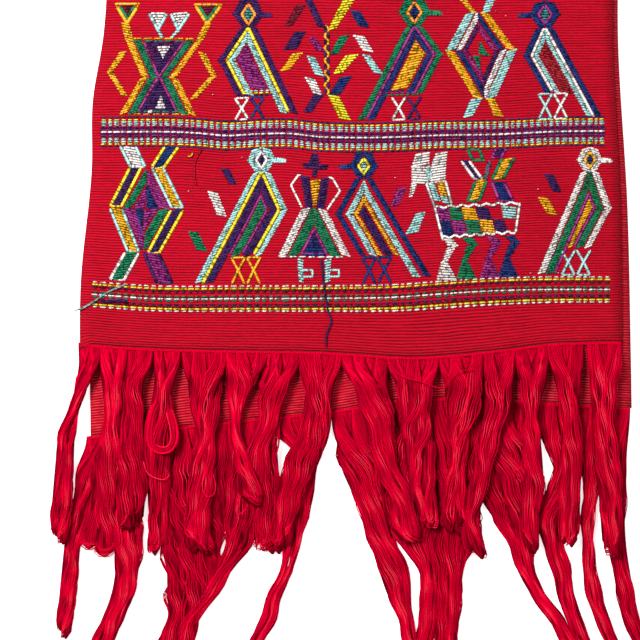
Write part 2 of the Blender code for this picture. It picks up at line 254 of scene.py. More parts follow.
class ThrowStudio(bpy.types.PropertyGroup):
    """The floor, the lights and the camera."""

    floor: dye("Floor", "F4F3F2", "Plain pale floor")
    view_x: length("Middle of the view across", "Place across that the camera looks at", -0.02625, -1, 1)
    view_y: length("Middle of the view along", "Place along that the camera looks at", -0.2875, -1, 1)
    view_size: length("Width of the view", "Width of floor in the picture", 0.48, 0.1, 3)
    view_height: length("Height of the camera", "Height above the floor", 1.6, 0.5, 5)
    key: FloatProperty(name="Key light", description="Strength of the soft light from one side",
                       default=46.0, unit="POWER", min=0, max=500)
    fill: FloatProperty(name="Light from all round", description="Strength of the even light",
                        default=0.30, min=0, max=5)
    glow: FloatProperty(name="Glow of the floor", description="Light that the floor gives of its own",
                        default=0.7, min=0, max=2)


def through(table, at):
    """Smooth curve through a table's points, its slope at each one from the neighbours."""
    places, values = np.array(table, float).T
    slopes = np.gradient(values, places)
    i = np.clip(np.searchsorted(places, at) - 1, 0, len(places) - 2)
    span = places[i + 1] - places[i]
    t = np.clip((at - places[i]) / span, 0, 1)
    low = (1 + 2 * t) * (1 - t) ** 2 * values[i] + t * (1 - t) ** 2 * span * slopes[i]
    high = t**2 * (3 - 2 * t) * values[i + 1] - t**2 * (1 - t) * span * slopes[i + 1]
    return low + high


def eased(t):
    """0 to 1 with a soft start and end."""
    t = np.clip(t, 0, 1)
    return t * t * (3 - 2 * t)


def swell(x, y):
    """Rise of the upper half: a sum of turned ovals height * exp(-(a^2 + b^2)), faded out
    at the hem and the fold."""
    rise = 0.0
    for across, along, half_x, half_y, turn, height in SWELLS:
        dx, dy = x - across / 1000, y - along / 1000
        c, s = cos(radians(turn)), sin(radians(turn))
        a = (dx * c + dy * s) / (half_x / 1000)
        b = (dy * c - dx * s) / (half_y / 1000)
        rise = rise + height / 1000 * np.exp(-(a * a + b * b))
    return rise * eased((y - HEM_Y) / SWELL_FADE) * eased((FOLD_Y - y) / SWELL_FADE)


def face_height(x, y):
    """Height of the upper half's face: flat over two sheets, rolled up at the fold, swelling."""
    turn_y = FOLD_Y - ROLL_HEIGHT / 2
    flat = 2 * SHEET + LAYER_GAP
    roll = (ROLL_HEIGHT - flat) * (1 - eased((turn_y - y) / ROLL_RUN))
    return flat + roll + swell(x, y)


def stray(x, line):
    """How far a weft line stands off its own level at x: the tables' curves, eased from one
    level to the next and gone towards the fold. The hem's corner hangs lower by
    drop * exp(-((x - place) / half)^2), which fades out in the rows above it."""
    place, half, drop, fade = CORNER
    corner = drop * np.exp(-(((x - place) / half) ** 2)) * (1 - eased((line - HEM_Y) / fade))
    curves = (-through(UPPER_HEM, x) - corner, through(STRAY_LOW, x), through(STRAY_HIGH, x))
    shares = [1] + [eased((line - low) / (high - low)) for low, high in zip(STRAY_AT, STRAY_AT[1:])]
    return sum(curve * shares[k] * (1 - shares[k + 1]) for k, curve in enumerate(curves))


def lay(x, line, lift):
    """Points on the face of the upper half, from places across, weft lines and lifts."""
    y = line + stray(x, line)
    return np.stack([x, y, face_height(x, y) + lift], axis=-1)


def side_edges(y, slip):
    """X of both side edges at y; slip moves the lower half sideways under the upper."""
    move = slip * (FOLD_Y - y) / (FOLD_Y - HEM_Y)
    return through(LEFT_EDGE, y) + move, through(RIGHT_EDGE, y) + move


def hem_y(table, x):
    """Y of a hem at x, from its table of depths."""
    return HEM_Y - through(table, x)


def add(name, data):
    """Adds an object of this name to the scene."""
    made = bpy.data.objects.new(name, data)
    bpy.context.scene.collection.objects.link(made)
    return made


def give(made, inputs):
    """Gives a node its inputs, by name or in their order, as values or as links."""
    for place, value in inputs.items() if isinstance(inputs, dict) else enumerate(inputs):
        if isinstance(value, bpy.types.NodeSocket):
            made.id_data.links.new(value, made.inputs[place])
        else:
            made.inputs[place].default_value = value


def node(tree, kind, inputs=(), **settings):
    """Adds a node with its settings and its inputs, and hands back its first output."""
    made = tree.nodes.new("ShaderNode" + kind)
    for name, value in settings.items():
        setattr(made, name, value)
    give(made, inputs)
    return made.outputs[0]


def finish(name, colour, roughness, gloss, paint, full):
    """A material whose paint(tree) gives its colour strength and its height in metres. Its
    saturation is full[0] - full[1] * strength: darker fibres look deeper, the brightest paler as a painted
    sheen."""
    made = bpy.data.materials.new(name)
    made.use_nodes = True
    made.diffuse_color = (*colour, 1)
    tree = made.node_tree
    strength, height = paint(tree)
    less = node(tree, "Math", (strength, full[1]), operation="MULTIPLY")
    fullness = node(tree, "Math", (full[0], less), operation="SUBTRACT")
    shade = {"Color": (*colour, 1), "Value": strength, "Saturation": fullness}
    give(tree.nodes["Principled BSDF"], {
        "Base Color": node(tree, "HueSaturation", shade),
        "Normal": node(tree, "Bump", {"Height": height, "Distance": 1.0, "Strength": 1.0}),
        "Roughness": roughness,
        "Sheen Weight": 0.05 if gloss else 0.0,
        "Sheen Roughness": 0.4,
        "Sheen Tint": (*(0.5 + 0.5 * np.array(colour)).tolist(), 1),
        "IOR": 1.45,
        "Specular IOR Level": gloss,
    })
    return made


def ribbed_cotton(colour, rib, depth):
    """Warp-faced cotton: rounded ribs over hidden wefts, with painted shade in the grooves between
    them, with the fine warp ends crossing each rib and uneven dye and lint along it. The half that
    lies covered is painted brighter, to lift the shade that the upper half and the hanks cast on it."""
    # Real warp ends lie closer than this. They are drawn as coarse as they need to be to show.
    end_spacing = 0.0009
    # Soft patterns, each with its cell in millimetres across and along the cloth, its detail and
    # its roughness: straying ribs, streaks of lint, patches that vary the painted groove shade, and uneven
    # dye.
    patterns = (
        (29.412, 9.8039, 4.0, 0.62),
        (5.5556, 1.1111, 4.0, 0.5),
        (22.222, 3.0303, 2.0, 0.5),
        (111.11, 111.11, 3.0, 0.5),
    )

    def paint(tree):
        cloth = node(tree, "UVMap", uv_map="cloth")
        x, y, _ = node(tree, "SeparateXYZ", (cloth,)).node.outputs
        soft = []
        for across, along, detail, roughness in patterns:
            cells = {"Vector": cloth, "Scale": (1000 / across, 1000 / along, 1.0)}
            inputs = {"Vector": node(tree, "Mapping", cells), "Scale": 1.0, "Detail": detail}
            soft.append(node(tree, "TexNoise", {**inputs, "Roughness": roughness}))
        wander, streak, groove_shade_patches, patch = soft
        wave = node(tree, "Math", (wander, 0.0018, y), operation="MULTIPLY_ADD")
        for operation, *by in (
            ("MULTIPLY", 2 * pi / rib), ("SINE",), ("MULTIPLY_ADD", 0.5, 0.5), ("POWER", 0.5),
        ):
            wave = node(tree, "Math", (wave, *by), operation=operation)
        ends = node(tree, "Math", (x, 2 * pi / end_spacing), operation="MULTIPLY")
        ends = node(tree, "Math", (ends,), operation="SINE")
        tone = node(tree, "Math", (streak, 0.55, 0.42), operation="MULTIPLY_ADD")
        tone = node(tree, "Math", (patch, 0.28, tone), operation="MULTIPLY_ADD")
        # Painted light: the covered half is made 30 % brighter, to lift the shade that the upper half and the
        # hanks cast on it.
        covered = node(tree, "Math", (y, COVERED_FROM), operation="GREATER_THAN")
        painted_lift = node(tree, "Math", (covered, 0.3, 1.0), operation="MULTIPLY_ADD")
        tone = node(tree, "Math", (tone, painted_lift), operation="MULTIPLY")
        # Painted shade: the grooves between the ribs are darkened, more in some patches than in others.
        painted_groove_shade = node(tree, "Math", (1.0, wave), operation="SUBTRACT")
        groove_shade_strength = node(tree, "Math", (groove_shade_patches, 1.22), operation="MULTIPLY")
        painted_groove_shade = node(tree, "Math", (painted_groove_shade, groove_shade_strength), operation="MULTIPLY")
        painted_groove_shade = node(tree, "Math", (1.08, painted_groove_shade), operation="SUBTRACT")
        height = node(tree, "Math", (wave, depth), operation="MULTIPLY")
        height = node(tree, "Math", (ends, 0.00005, height), operation="MULTIPLY_ADD")
        height = node(tree, "Math", (streak, 0.00030, height), operation="MULTIPLY_ADD")
        return node(tree, "Math", (tone, painted_groove_shade), operation="MULTIPLY"), height

    return finish("ribbed_red_cotton", colour, 0.8, 0.12, paint, (1.25, 0.245))


def soft_yarn(name, colour, twist=500.0, fibres=(140.0, 8.0), depth=0.00012, spread=0.34, base=0.42,
              fluffy=0.68, gloss=0.12):
    """Loosely plied cotton yarn: fine fibres lie along it or wind round it, each yarn is a little
    lighter or darker than the next, and it has a soft lustre. A twisted one has painted shade down
    its flanks and in dark gaps between floats, every 2 to 4 mm along it and elsewhere on each yarn,
    and its twist stripes are painted lighter and darker as well as bumped. Its twist is in turns a
    metre, 500 being 2 mm a turn, and fibres are counted to a metre along it and to a turn round it."""
    crown, painted_gap_spacing = 0.375, 1 / 420

    def paint(tree):
        yarn = node(tree, "UVMap", uv_map="yarn")
        stretched = node(tree, "Mapping", {"Vector": yarn, "Scale": (*fibres, 1.0)})
        fluff = node(tree, "TexNoise", {"Vector": stretched, "Scale": 1.0, "Detail": 3.0})
        tone = node(tree, "Attribute", attribute_name="tone").node.outputs["Fac"]
        strength = node(tree, "Math", (tone, spread, base), operation="MULTIPLY_ADD")
        strength = node(tree, "Math", (fluff, fluffy, strength), operation="MULTIPLY_ADD")
        height = node(tree, "Math", (fluff, 3 * depth), operation="MULTIPLY")
        if twist:
            run, around, _ = node(tree, "SeparateXYZ", (yarn,)).node.outputs
            turn = node(tree, "Math", (around, 2.0), operation="MULTIPLY")
            turn = node(tree, "Math", (run, twist, turn), operation="MULTIPLY_ADD")
            turn = node(tree, "Math", (turn, 2 * pi), operation="MULTIPLY")
            strand = node(tree, "Math", (turn,), operation="SINE")
            height = node(tree, "Math", (strand, depth, height), operation="MULTIPLY_ADD")
            # Painted light and shade: the twist's stripes also make the colour a tenth lighter and darker.
            strength = node(tree, "Math", (strand, 0.10, strength), operation="MULTIPLY_ADD")
            # Painted shade: the yarn darkens down both flanks, where it meets its neighbours.
            painted_flank_shade = around
            for operation, *by in (
                ("SUBTRACT", crown), ("ABSOLUTE",), ("MULTIPLY", 1 / crown), ("POWER", 1.4),
                ("MULTIPLY", 0.95),
            ):
                painted_flank_shade = node(tree, "Math", (painted_flank_shade, *by), operation=operation)
            shade = node(tree, "Math", (1.0, painted_flank_shade), operation="SUBTRACT", use_clamp=True)
            # Painted shade: dark spots every 2 to 4 mm along the yarn, for the shaded gaps between stitches.
            along = node(tree, "Math", (run, 1 / painted_gap_spacing), operation="MULTIPLY")
            own = node(tree, "Math", (tone, 60.0), operation="MULTIPLY")
            place = node(tree, "CombineXYZ", (along, own))
            painted_gap_shade = node(tree, "TexNoise", {"Vector": place, "Scale": 1.0, "Detail": 1.0})
            painted_gap_shade = node(tree, "Math", (painted_gap_shade, 0.375), operation="SUBTRACT")
            painted_gap_shade = node(tree, "Math", (painted_gap_shade, 9.0), operation="MULTIPLY", use_clamp=True)
            painted_gap_shade = node(tree, "Math", (painted_gap_shade, 0.78, 0.34), operation="MULTIPLY_ADD")
            for darker in (shade, painted_gap_shade):
                strength = node(tree, "Math", (strength, darker), operation="MULTIPLY")
        return strength, height

    return finish(name, colour, 0.6, gloss, paint, (1.165, 0.18) if gloss else (1.18, 0.185))


def skin(grids, tones):
    """Vertices, faces and texture places of closed tubes. Each grid is (tubes, stations, sides,
    3); every ring is joined to the next one and both end rings are capped. A tone is given for
    each tube, or for each of its stations."""
    verts, quads, caps, places, tone = [], [], [], [], []
    start = 0
    for grid, shade in zip(grids, tones):
        tubes, stations, sides, _ = grid.shape
        number = start + np.arange(tubes * stations * sides).reshape(tubes, stations, sides)
        around = np.roll(number, -1, axis=2)
        quad = np.stack([number[:, :-1], number[:, 1:], around[:, 1:], around[:, :-1]], axis=-1)
        quads.append(quad.reshape(-1, 4))
        caps.append(np.concatenate([number[:, 0], number[:, -1, ::-1]]))
        middle = grid.mean(axis=2)
        run = np.zeros((tubes, stations))
        run[:, 1:] = np.cumsum(np.linalg.norm(np.diff(middle, axis=1), axis=2), axis=1)
        u = np.stack([run[:, :-1], run[:, 1:], run[:, 1:], run[:, :-1]], axis=-1)
        u = np.repeat(u[:, :, None, :], sides, axis=2)
        v = (np.arange(sides)[:, None] + np.array([0, 0, 1, 1])) / sides
        places.append(np.stack([u, np.broadcast_to(v, u.shape)], axis=-1).reshape(-1, 2))
        shade = np.broadcast_to(shade.reshape(tubes, -1), (tubes, stations))
        tone.append(np.repeat(shade.reshape(-1), sides))
        verts.append(grid.reshape(-1, 3))
        start += grid[..., 0].size
    return np.concatenate(verts), np.concatenate(quads), caps, np.concatenate(places), np.concatenate(tone)


def add_tubes(name, grids, tones, material):
    """One object of closed tubes, written into its mesh as whole arrays."""
    verts, quads, caps, places, tone = skin(grids, tones)
    corners = [quads.reshape(-1)] + [cap.reshape(-1) for cap in caps]
    totals = [np.full(len(quads), 4)] + [np.full(len(cap), cap.shape[1]) for cap in caps]
    corners, totals = np.concatenate(corners), np.concatenate(totals)
    mesh = bpy.data.meshes.new(name)
    mesh.vertices.add(len(verts))
    mesh.vertices.foreach_set("co", verts.astype(np.float32).reshape(-1))
    mesh.loops.add(len(corners))
    mesh.loops.foreach_set("vertex_index", corners.astype(np.int32))
    mesh.polygons.add(len(totals))
    mesh.polygons.foreach_set("loop_start", (np.cumsum(totals) - totals).astype(np.int32))
    mesh.update(calc_edges=True)
    layer = mesh.uv_layers.new(name="yarn")
    uv = np.zeros((len(corners), 2), np.float32)
    uv[: len(places)] = places
    layer.uv.foreach_set("vector", uv.reshape(-1))
    mesh.attributes.new("tone", "FLOAT", "POINT").data.foreach_set("value", tone.astype(np.float32))
    mesh.shade_smooth()
    mesh.materials.append(material)
    return add(name, mesh)


def tube(paths, radius, sides):
    """Rings round paths (tubes, stations, 3): path + radius * (cos * side + sin * up), where
    side is level and square to the path."""
    along = np.gradient(paths, axis=1)
    along = along / np.maximum(np.linalg.norm(along, axis=2, keepdims=True), 1e-9)
    side = np.cross(along, [0.0, 0.0, 1.0])
    side = side / np.maximum(np.linalg.norm(side, axis=2, keepdims=True), 1e-9)
    up = np.cross(side, along)
    angle = (np.arange(sides) + 0.5) * 2 * pi / sides
    radius = np.broadcast_to(radius, paths.shape[:2])[:, :, None, None]
    turn = np.cos(angle)[:, None] * side[:, :, None] + np.sin(angle)[:, None] * up[:, :, None]
    return paths[:, :, None] + radius * turn


class Pattern:
    """Brocade gathered by yarn, charted in steps of the warp from a chart's middle and foot."""

    def __init__(self):
        self.floats, self.threads, self.lift = {}, {}, 0.0
        self.at(0, 0)

    def at(self, x, foot, side=1, tall=1.0):
        """Sets the middle in steps, the foot line, which way it faces and its stretch."""
        self.x, self.foot, self.side, self.tall = x * STEP, foot, side, tall * STEP

    def flat(self, points):
        """Places across and weft lines of points that are counted in steps."""
        points = np.array(points, float)
        return np.stack([self.x + self.side * STEP * points[:, 0], self.foot + self.tall * points[:, 1]], 1)

    def rows(self, low, high):
        """Weft lines from one place up to another, one to a rib."""
        first, last = np.ceil((low - HEM_Y) / RIB - 1e-6), np.ceil((high - HEM_Y) / RIB - 1e-6)
        return HEM_Y + RIB * np.arange(first, last)

    def fill(self, yarn, line, left, right, lean=None, width=1.0, over=0.0003):
        """Floats between two edges at each weft line, leaning the way the form does. Wide rows
        are split, the splits step sideways from row to row, and floats overlap there by a share
        of their length."""
        overlap, steepest = 0.05, 3.2
        keep = right - left > SHORTEST
        line, left, right = line[keep], left[keep], right[keep]
        if not len(line):
            return
        if lean is None and len(line) > 1:
            lean = np.clip(steepest * np.gradient((left + right) / 2, line), -1, 1)
        lean = np.broadcast_to(0.0 if lean is None else lean, line.shape)
        left, wide = left - over, right - left + 2 * over
        count = np.maximum(1, np.round(wide / LONGEST))
        odd = np.where(count > 1, (np.round((line - HEM_Y) / RIB) % 2) * 0.5, 0)
        for k in range(int((count + (odd > 0)).max())):
            live = k < count + (odd > 0)
            a, b = np.clip(k - odd, 0, count), np.clip(k + 1 - odd, 0, count)
            a, b = a - overlap * ((a > 0) & (a < count)), b + overlap * ((b > 0) & (b < count))
            a, b = (left + wide * a / count)[live], (left + wide * b / count)[live]
            one = np.ones(len(a))
            rows = np.stack([a, b, line[live], lean[live], width * one, self.lift * one], axis=1)
            self.floats.setdefault(yarn, []).append(rows)

    def block(self, yarn, high, left, right, low, left_low, right_low):
        """Floats in a slanted block with level top and bottom."""
        a = self.flat([(left, high), (left_low, low)])
        b = self.flat([(right, high), (right_low, low)])
        if self.side < 0:
            a, b = b, a
        line = self.rows(a[1, 1], a[0, 1])
        x = np.interp(line, a[::-1, 1], a[::-1, 0]), np.interp(line, b[::-1, 1], b[::-1, 0])
        self.fill(yarn, line, *x, 0.6 * np.sign(a[0, 0] + b[0, 0] - a[1, 0] - b[1, 0]))

    def blocks(self, table):
        """Several slanted blocks, each a row of the table."""
        for row in table:
            self.block(*row)

    def outlined(self, yarn, edge, high, left, right, low, left_low, right_low):
        """A slanted block filled with floats between two threads, with a third along its foot."""
        width, inner, h = 3.0, 2.5, 1.5
        if yarn:
            self.block(yarn, high + 0.5, left + inner, right - inner,
                       low + 0.8, left_low + inner, right_low - inner)
        self.thread(edge, 1.8, [(left_low + h, low + 0.6), (right_low - h, low + 0.6)])
        self.thread(edge, width, [(left + h, high), (left_low + h, low)], 0.0001)
        self.thread(edge, width, [(right - h, high), (right_low - h, low)], 0.0001)

    def nest(self, left, right, bands, others=None, centre=None, up_from=0.0):
        """Bands one inside the other between two outlines. At each rib, band k runs from its
        inset to the next band's inset and stops midway. A narrow band is a laid-in thread. The
        centre starts at up_from steps."""
        left, right = self.flat(left), self.flat(right)
        others = others or bands
        if self.side < 0:
            left, right, bands, others = right, left, others, bands
        left, right = left[np.argsort(left[:, 1])], right[np.argsort(right[:, 1])]
        line = self.rows(max(left[0, 1], right[0, 1]), min(left[-1, 1], right[-1, 1]))
        low, high = np.interp(line, *left.T[::-1]), np.interp(line, *right.T[::-1])
        for (yarn, width), (other, span) in zip(bands, others):
            inner_low, inner_high = low + width * STEP, high - span * STEP
            middle = (low + high) / 2
            if width <= THREAD_BAND:
                for name, x, size, way in ((yarn, low, width, 1), (other, high, span, -1)):
                    if name:
                        self.edging(name, size, x + way * size / 2 * STEP, middle, line, way)
            else:
                for name, a, b in ((yarn, low, np.minimum(inner_low, middle)),
                                   (other, np.maximum(inner_high, middle), high)):
                    if name:
                        self.fill(name, line, a, b)
            low, high = inner_low, inner_high
        if centre:
            inside = line > self.foot + self.tall * up_from
            self.fill(centre, line[inside], (low + 0.0002)[inside], (high - 0.0002)[inside])

    def edging(self, yarn, width, x, middle, line, inwards):
        """A thread down the side of a band, as far as the middle where the sides meet or come
        to a point at the top."""
        room = inwards * (middle - x) > 0
        if room.sum() > 1:
            ends = np.flatnonzero(room)
            reach = slice(max(ends[0] - 1, 0), ends[-1] + 2)
            x = np.where(room, x, middle)
            path = np.stack([x, line], 1)[reach]
            if room[-1] and abs(middle[-1] - x[-1]) < 4 * STEP:
                path = np.concatenate([path, [[middle[-1], line[-1] + 0.6 * RIB]]])
            self.laid(yarn, width, path)

    def laid(self, yarn, width, path, lift=0.0):
        """A thread along a path of places across and weft lines."""
        if len(path) > 1:
            self.threads.setdefault(yarn, []).append((width, path, lift + self.lift))

    def thread(self, yarn, width, points, lift=0.0):
        """A thread laid in along points that are counted in steps."""
        self.laid(yarn, width, self.flat(points), lift)

    def dashes(self, yarn, up, gaps, width, cover):
        """A row of floats between the warp columns at gaps, in steps over the foot line. Each
        reaches over its column by cover, in metres."""
        line = np.full(len(gaps) - 1, self.foot + up * STEP)
        self.fill(yarn, line, gaps[:-1] + 0.0005 - cover, gaps[1:] - 0.0005 + cover, 0.06, width, 0.0)

    def short_dashes(self, yarn, up, start, stop, count):
        """A short row of dashes from start to stop in steps."""
        ends = self.flat([(start, up), (stop, up)])
        x = np.linspace(ends[:, 0].min(), ends[:, 0].max(), count + 1)
        line = np.full(count, ends[0, 1])
        self.fill(yarn, line, x[:-1] + 0.0004, x[1:] - 0.0004, 0.1, 0.8, 0.0)


def eye(pattern, up, ring, pupil, wide, tall):
    """A diamond of thread round a filled diamond, on top of the head's floats."""
    pattern.lift = 0.0003
    inner = ((0, up + tall - 3), (2.4 - wide, up), (0, up + 3 - tall))
    pattern.nest(inner, [(-x, y) for x, y in inner], [], centre=pupil)
    pattern.lift = 0.0006
    corners = ((0, tall - 1.3), (wide - 1.3, 0), (0, 1.3 - tall), (1.3 - wide, 0), (0, tall - 1.3))
    pattern.thread(ring, 2.6, [(x, up + y) for x, y in corners])
    pattern.lift = 0.0


def crossed_legs(pattern, yarns, middle, high, low, bars):
    """Two crosses of thread side by side, each with a bar along its foot, its top or both."""
    width, knee = 7.0, (high + low) / 2
    for k, yarn in enumerate(yarns):
        x = middle + (k - 0.5) * (2 * width + 1.4)
        for way, lift in ((1, 0.0), (-1, 0.0003)):
            ends = [(x - way * width, high), (x + way * 0.3, knee), (x + way * (width - 0.6), low)]
            pattern.thread(yarn, 2.3, ends, lift)
        for up in [high] * ("top" in bars) + [low] * ("foot" in bars):
            pattern.thread(yarn, 1.9, [(x - width + 0.6, up), (x + width - 0.6, up)])


def bird(pattern, neck, corner, bottom, tail, bands, centre, look, legs, beak=1, size=1.0, legs_at=-8,
         ends=0, bars="foot"):
    """A bird: a six-sided head with a diamond eye, and a body of nested bands that has its
    corner at the breast and runs out straight behind into the tail. Its lower edge may have rows
    of dashes in the yarns of its bands."""
    outer = bands[0][0]
    head = neck + 11.5 * size
    spread = ((-8.8 * size, neck + 24.5 * size), (-15 * size, head), (-7.6, neck))
    pattern.nest(spread, [(-x, y) for x, y in spread], [(outer, 10.5 * size)])
    eye(pattern, head, *look)
    near, far = 11 * size * beak, 25 * size * beak
    pattern.thread(outer, 3.0, [(near, head + 1.0), ((near + far) / 2, head + 0.4), (far, head - 0.8)])
    pattern.thread(outer, 3.0, [(near, head - 1.6), ((near + far) / 2, head - 1.8), (far, head - 1.6)])
    run = (tail[0] + 9.0) / (tail[1] - neck)
    at_bottom = -9.0 + run * (bottom[1] - neck)
    pattern.nest([(-9.0, neck), (at_bottom, bottom[1])], [(9.0, neck), corner, bottom], bands, centre=centre,
                 up_from=bottom[1] + 1.9 * ends)
    inset = 0.0
    for yarn, width in bands[:3]:
        a, b = at_bottom + inset, tail[0] + inset
        if not yarn:
            pass
        elif width <= THREAD_BAND:
            pattern.thread(yarn, width, [(a + width / 2 + 1, bottom[1] + 2), (b + width / 2, tail[1])])
        else:
            pattern.block(yarn, bottom[1], a, a + width, tail[1], b, b + width)
        inset += width
    start, stop = at_bottom + inset - 3, bottom[0] - 7
    count = max(2, round((stop - start) / 5))
    for row, yarn in enumerate([yarn for yarn, _ in bands if yarn][:ends]):
        pattern.short_dashes(yarn, bottom[1] + 0.8 + 2.1 * row, start, stop, count)
    crossed_legs(pattern, legs, legs_at, bottom[1] - 1.4, 0.2, bars)


def vase(pattern, edge="golden", inner="green", line="magenta", fill="purple", spot="white"):
    """A waisted figure of nested bands with two bent handles, two arms and two buds."""
    bands = [(edge, 8.4), (inner, 8.8), (line, 2.2)]
    pattern.nest([(-37.5, 80), (-22.1, 43.5)], [(40.5, 80), (15.3, 43.5)], bands, centre=fill)
    pattern.nest([(-22.1, 43.5), (-43.5, 6)], [(15.3, 43.5), (33.5, 6)], bands, centre=fill)
    pattern.blocks((
        (edge, 69, -43, -35, 48, -56, -49), (edge, 48, -56, -49, 23, -41, -34),
        (edge, 69, 35, 43, 46, 47, 54.5), (edge, 46, 47, 54.5, 22, 27.5, 35),
        (edge, 97, -41.5, -33, 80, -37.5, -29), (edge, 97, 41, 48.5, 80, 32.5, 40.5),
        ("aqua", 90, -6, -1.5, 81, -1.5, 2), ("aqua", 90, 13, 17, 81, 6, 9.5),
    ))
    bud = [(edge, 3.5), (inner, 3.0)]
    for left, right, tip, high in ((-49, -21.5, -35.5, 117.5), (30.5, 61, 44.5, 117)):
        pattern.nest([(left, high), (tip, 95)], [(right, high), (tip, 95)], bud, centre="maroon")
        pattern.thread(edge, 2.4, [(left + 1, high), (right - 1, high)])
    for left, right, tip in ((-16, 7, -4.5), (6, 29.5, 15.5)):
        pattern.nest([(left, 109.5), (tip, 88)], [(right, 109.5), (tip, 88)], [("aqua", 3.2)], centre=spot)
    for sign in (1, -1):
        pattern.thread(line, 2.4, [(-3.2 - 5 * sign, 51), (-3.2 + 4.5 * sign, 36)], 0.0001)
    for up, yarn in ((82, edge), (79.4, inner), (5.2, edge), (7.6, inner)):
        pattern.short_dashes(yarn, up, -30, 32 if up > 40 else 27, 6)
    pattern.lift = OVER_FLOATS
    pattern.nest([(-6.5, 75), (0, 62)], [(9.5, 75), (1.5, 62)], [], centre=spot)
    pattern.nest([(-2, 24), (-7.5, 11)], [(-1, 24), (3.8, 11)], [], centre=spot)
    pattern.lift = 0.0


def diamond(pattern, one="aqua", two="golden"):
    """A diamond of three nested bands that change yarn from side to side, on crossed arms."""
    cool = [(one, 10.6), ("white", 6.8), ("purple", 5.6)]
    warm = [(two, 10.6), ("navy", 8.2), ("magenta", 6)]
    pattern.nest([(-14.5, 106.5), (-35.4, 68)], [(9.6, 106.5), (37.3, 68)], cool, warm)
    pattern.nest([(-35.4, 68), (-6.4, 20)], [(37.3, 68), (15.9, 20)], warm, cool)
    pattern.blocks((
        ("green", 77, -1, 0.5, 64.5, -1, 9.5), ("green", 64.5, -8.5, 0.5, 51, -1, 0.5),
        (two, 120, -21.5, -13.5, 106.5, -10, -3), (one, 120, 6.5, 16, 106.5, 1.5, 9.8),
        (one, 20, -9.5, 2.5, 1, -18, -8), (two, 20, 6, 15, 1, 14.5, 24.5),
    ))


def paired_leaves(pattern):
    """A tree: slanted leaves in pairs on both sides of a twisted stem."""
    pattern.blocks((
        ("maroon", 110.5, -31, -20.5, 90.5, -43, -34), ("purple", 118, -23, -14.5, 89.5, -9, -1),
        ("lemon", 116.5, 15, 28, 89, 1.5, 10), ("navy", 106.5, 22.5, 34, 89.5, 32, 44),
        ("purple", 84.5, -33, -21, 67.5, -43, -29), ("magenta", 80.5, -19, -11, 65.5, -10, -1),
        ("green", 82.5, 13, 24, 65, 3, 12), ("white", 81.5, 26, 38, 66.5, 36, 47),
        ("golden", 62.5, -35, -24, 44, -48, -38), ("aqua", 62, -21, -12, 42.5, -12, -2),
        ("lemon", 63, 18, 32, 44, 5, 15), ("aqua", 64, 34.5, 43, 46, 46, 56),
        ("white", 40, -23, -12, 23, -13, -4), ("navy", 42.5, 13, 26, 23, 0.5, 13),
        ("purple", 23, -14, -3, 4.5, -24, -15), ("lemon", 22.5, 1, 13, 1, 12, 24),
    ))
    up = np.linspace(92, 24, 60)
    for yarn, phase in (("golden", 0.0), ("purple", pi)):
        pattern.thread(yarn, 2.1, np.stack([2.0 * np.sin(up * 0.52 + phase), up], 1), 0.0002)


def chevrons(pattern):
    """A diamond set in four outlined bars, with four outlined legs."""
    for row in (
        ("purple", "lemon", 114, -18, -4, 75, -38, -24), ("golden", "aqua", 114, 4, 18, 75, 24, 38),
        ("golden", "aqua", 73, -38, -23, 31, -20, -6), ("purple", "lemon", 73, 23, 38, 31, 0, 14),
        ("white", "aqua", 136, -28, -10, 114, -17, 0.5), ("navy", "lemon", 135, 17, 33.5, 114, 3.5, 18.5),
        ("green", "white", 30, -23, -6.5, 2, -38, -21.5), ("magenta", "purple", 31, -4.5, 13.5, 1, 9, 27.5),
    ):
        pattern.outlined(*row)
    pattern.nest([(-2, 112), (-24, 74.5)], [(3.5, 112), (24, 74.5)], [("green", 10)], [("magenta", 12)])
    pattern.nest([(-24, 74.5), (-6, 34)], [(24, 74.5), (0, 34)], [("magenta", 12)], [("green", 12)])
    pattern.blocks((
        ("magenta", 95, -1, 0, 74.5, -14, -0.5), ("navy", 97, 0, 1, 74.5, -0.5, 12.5),
        ("navy", 74.5, -12.5, -2, 50, -5, -4), ("magenta", 74.5, -2, 12.5, 51, -4, -3),
    ))


def person(pattern):
    """A figure in a brimmed hat and a skirt of nested bands."""
    pattern.blocks((
        ("purple", 131, -3.5, 3, 122.5, -6.5, 5), ("purple", 122.5, -13, 14, 117.5, -11.5, 12.5),
        ("purple", 117.5, -2.4, 2.4, 107.5, -2.4, 2.4), ("purple", 108, -14.5, -5.2, 77, -10, -2),
        ("purple", 108, 6, 14.5, 77, 1.2, 10), ("golden", 106.5, -5.4, 6, 80, -2.2, 1.2),
        ("aqua", 26, -17.5, -11.5, 1, -16.5, -11.5), ("aqua", 26, 9.5, 16, 1, 10, 15),
    ))
    pattern.thread("white", 2.0, [(-14, 109), (-16.5, 108.6), (-24, 98), (-13, 76.5)])
    pattern.thread("white", 2.0, [(13, 109), (17.5, 108), (25, 95), (12, 75.5)])
    bands = [("white", 9.6), ("green", 12.2), ("magenta", 2.4)]
    pattern.nest([(-14, 76), (-37, 29)], [(12, 76), (35.5, 29)], bands, centre="navy")
    pattern.thread("magenta", 2.2, [(-13, 30.5), (12, 30.5)])
    pattern.short_dashes("white", 27.4, -36, 29, 7)
    for x in (-13.5, 13.0):
        pattern.thread("aqua", 2.0, [(x, 14), (x + 11, 14), (x + 11, 7.5), (x, 7.5)])


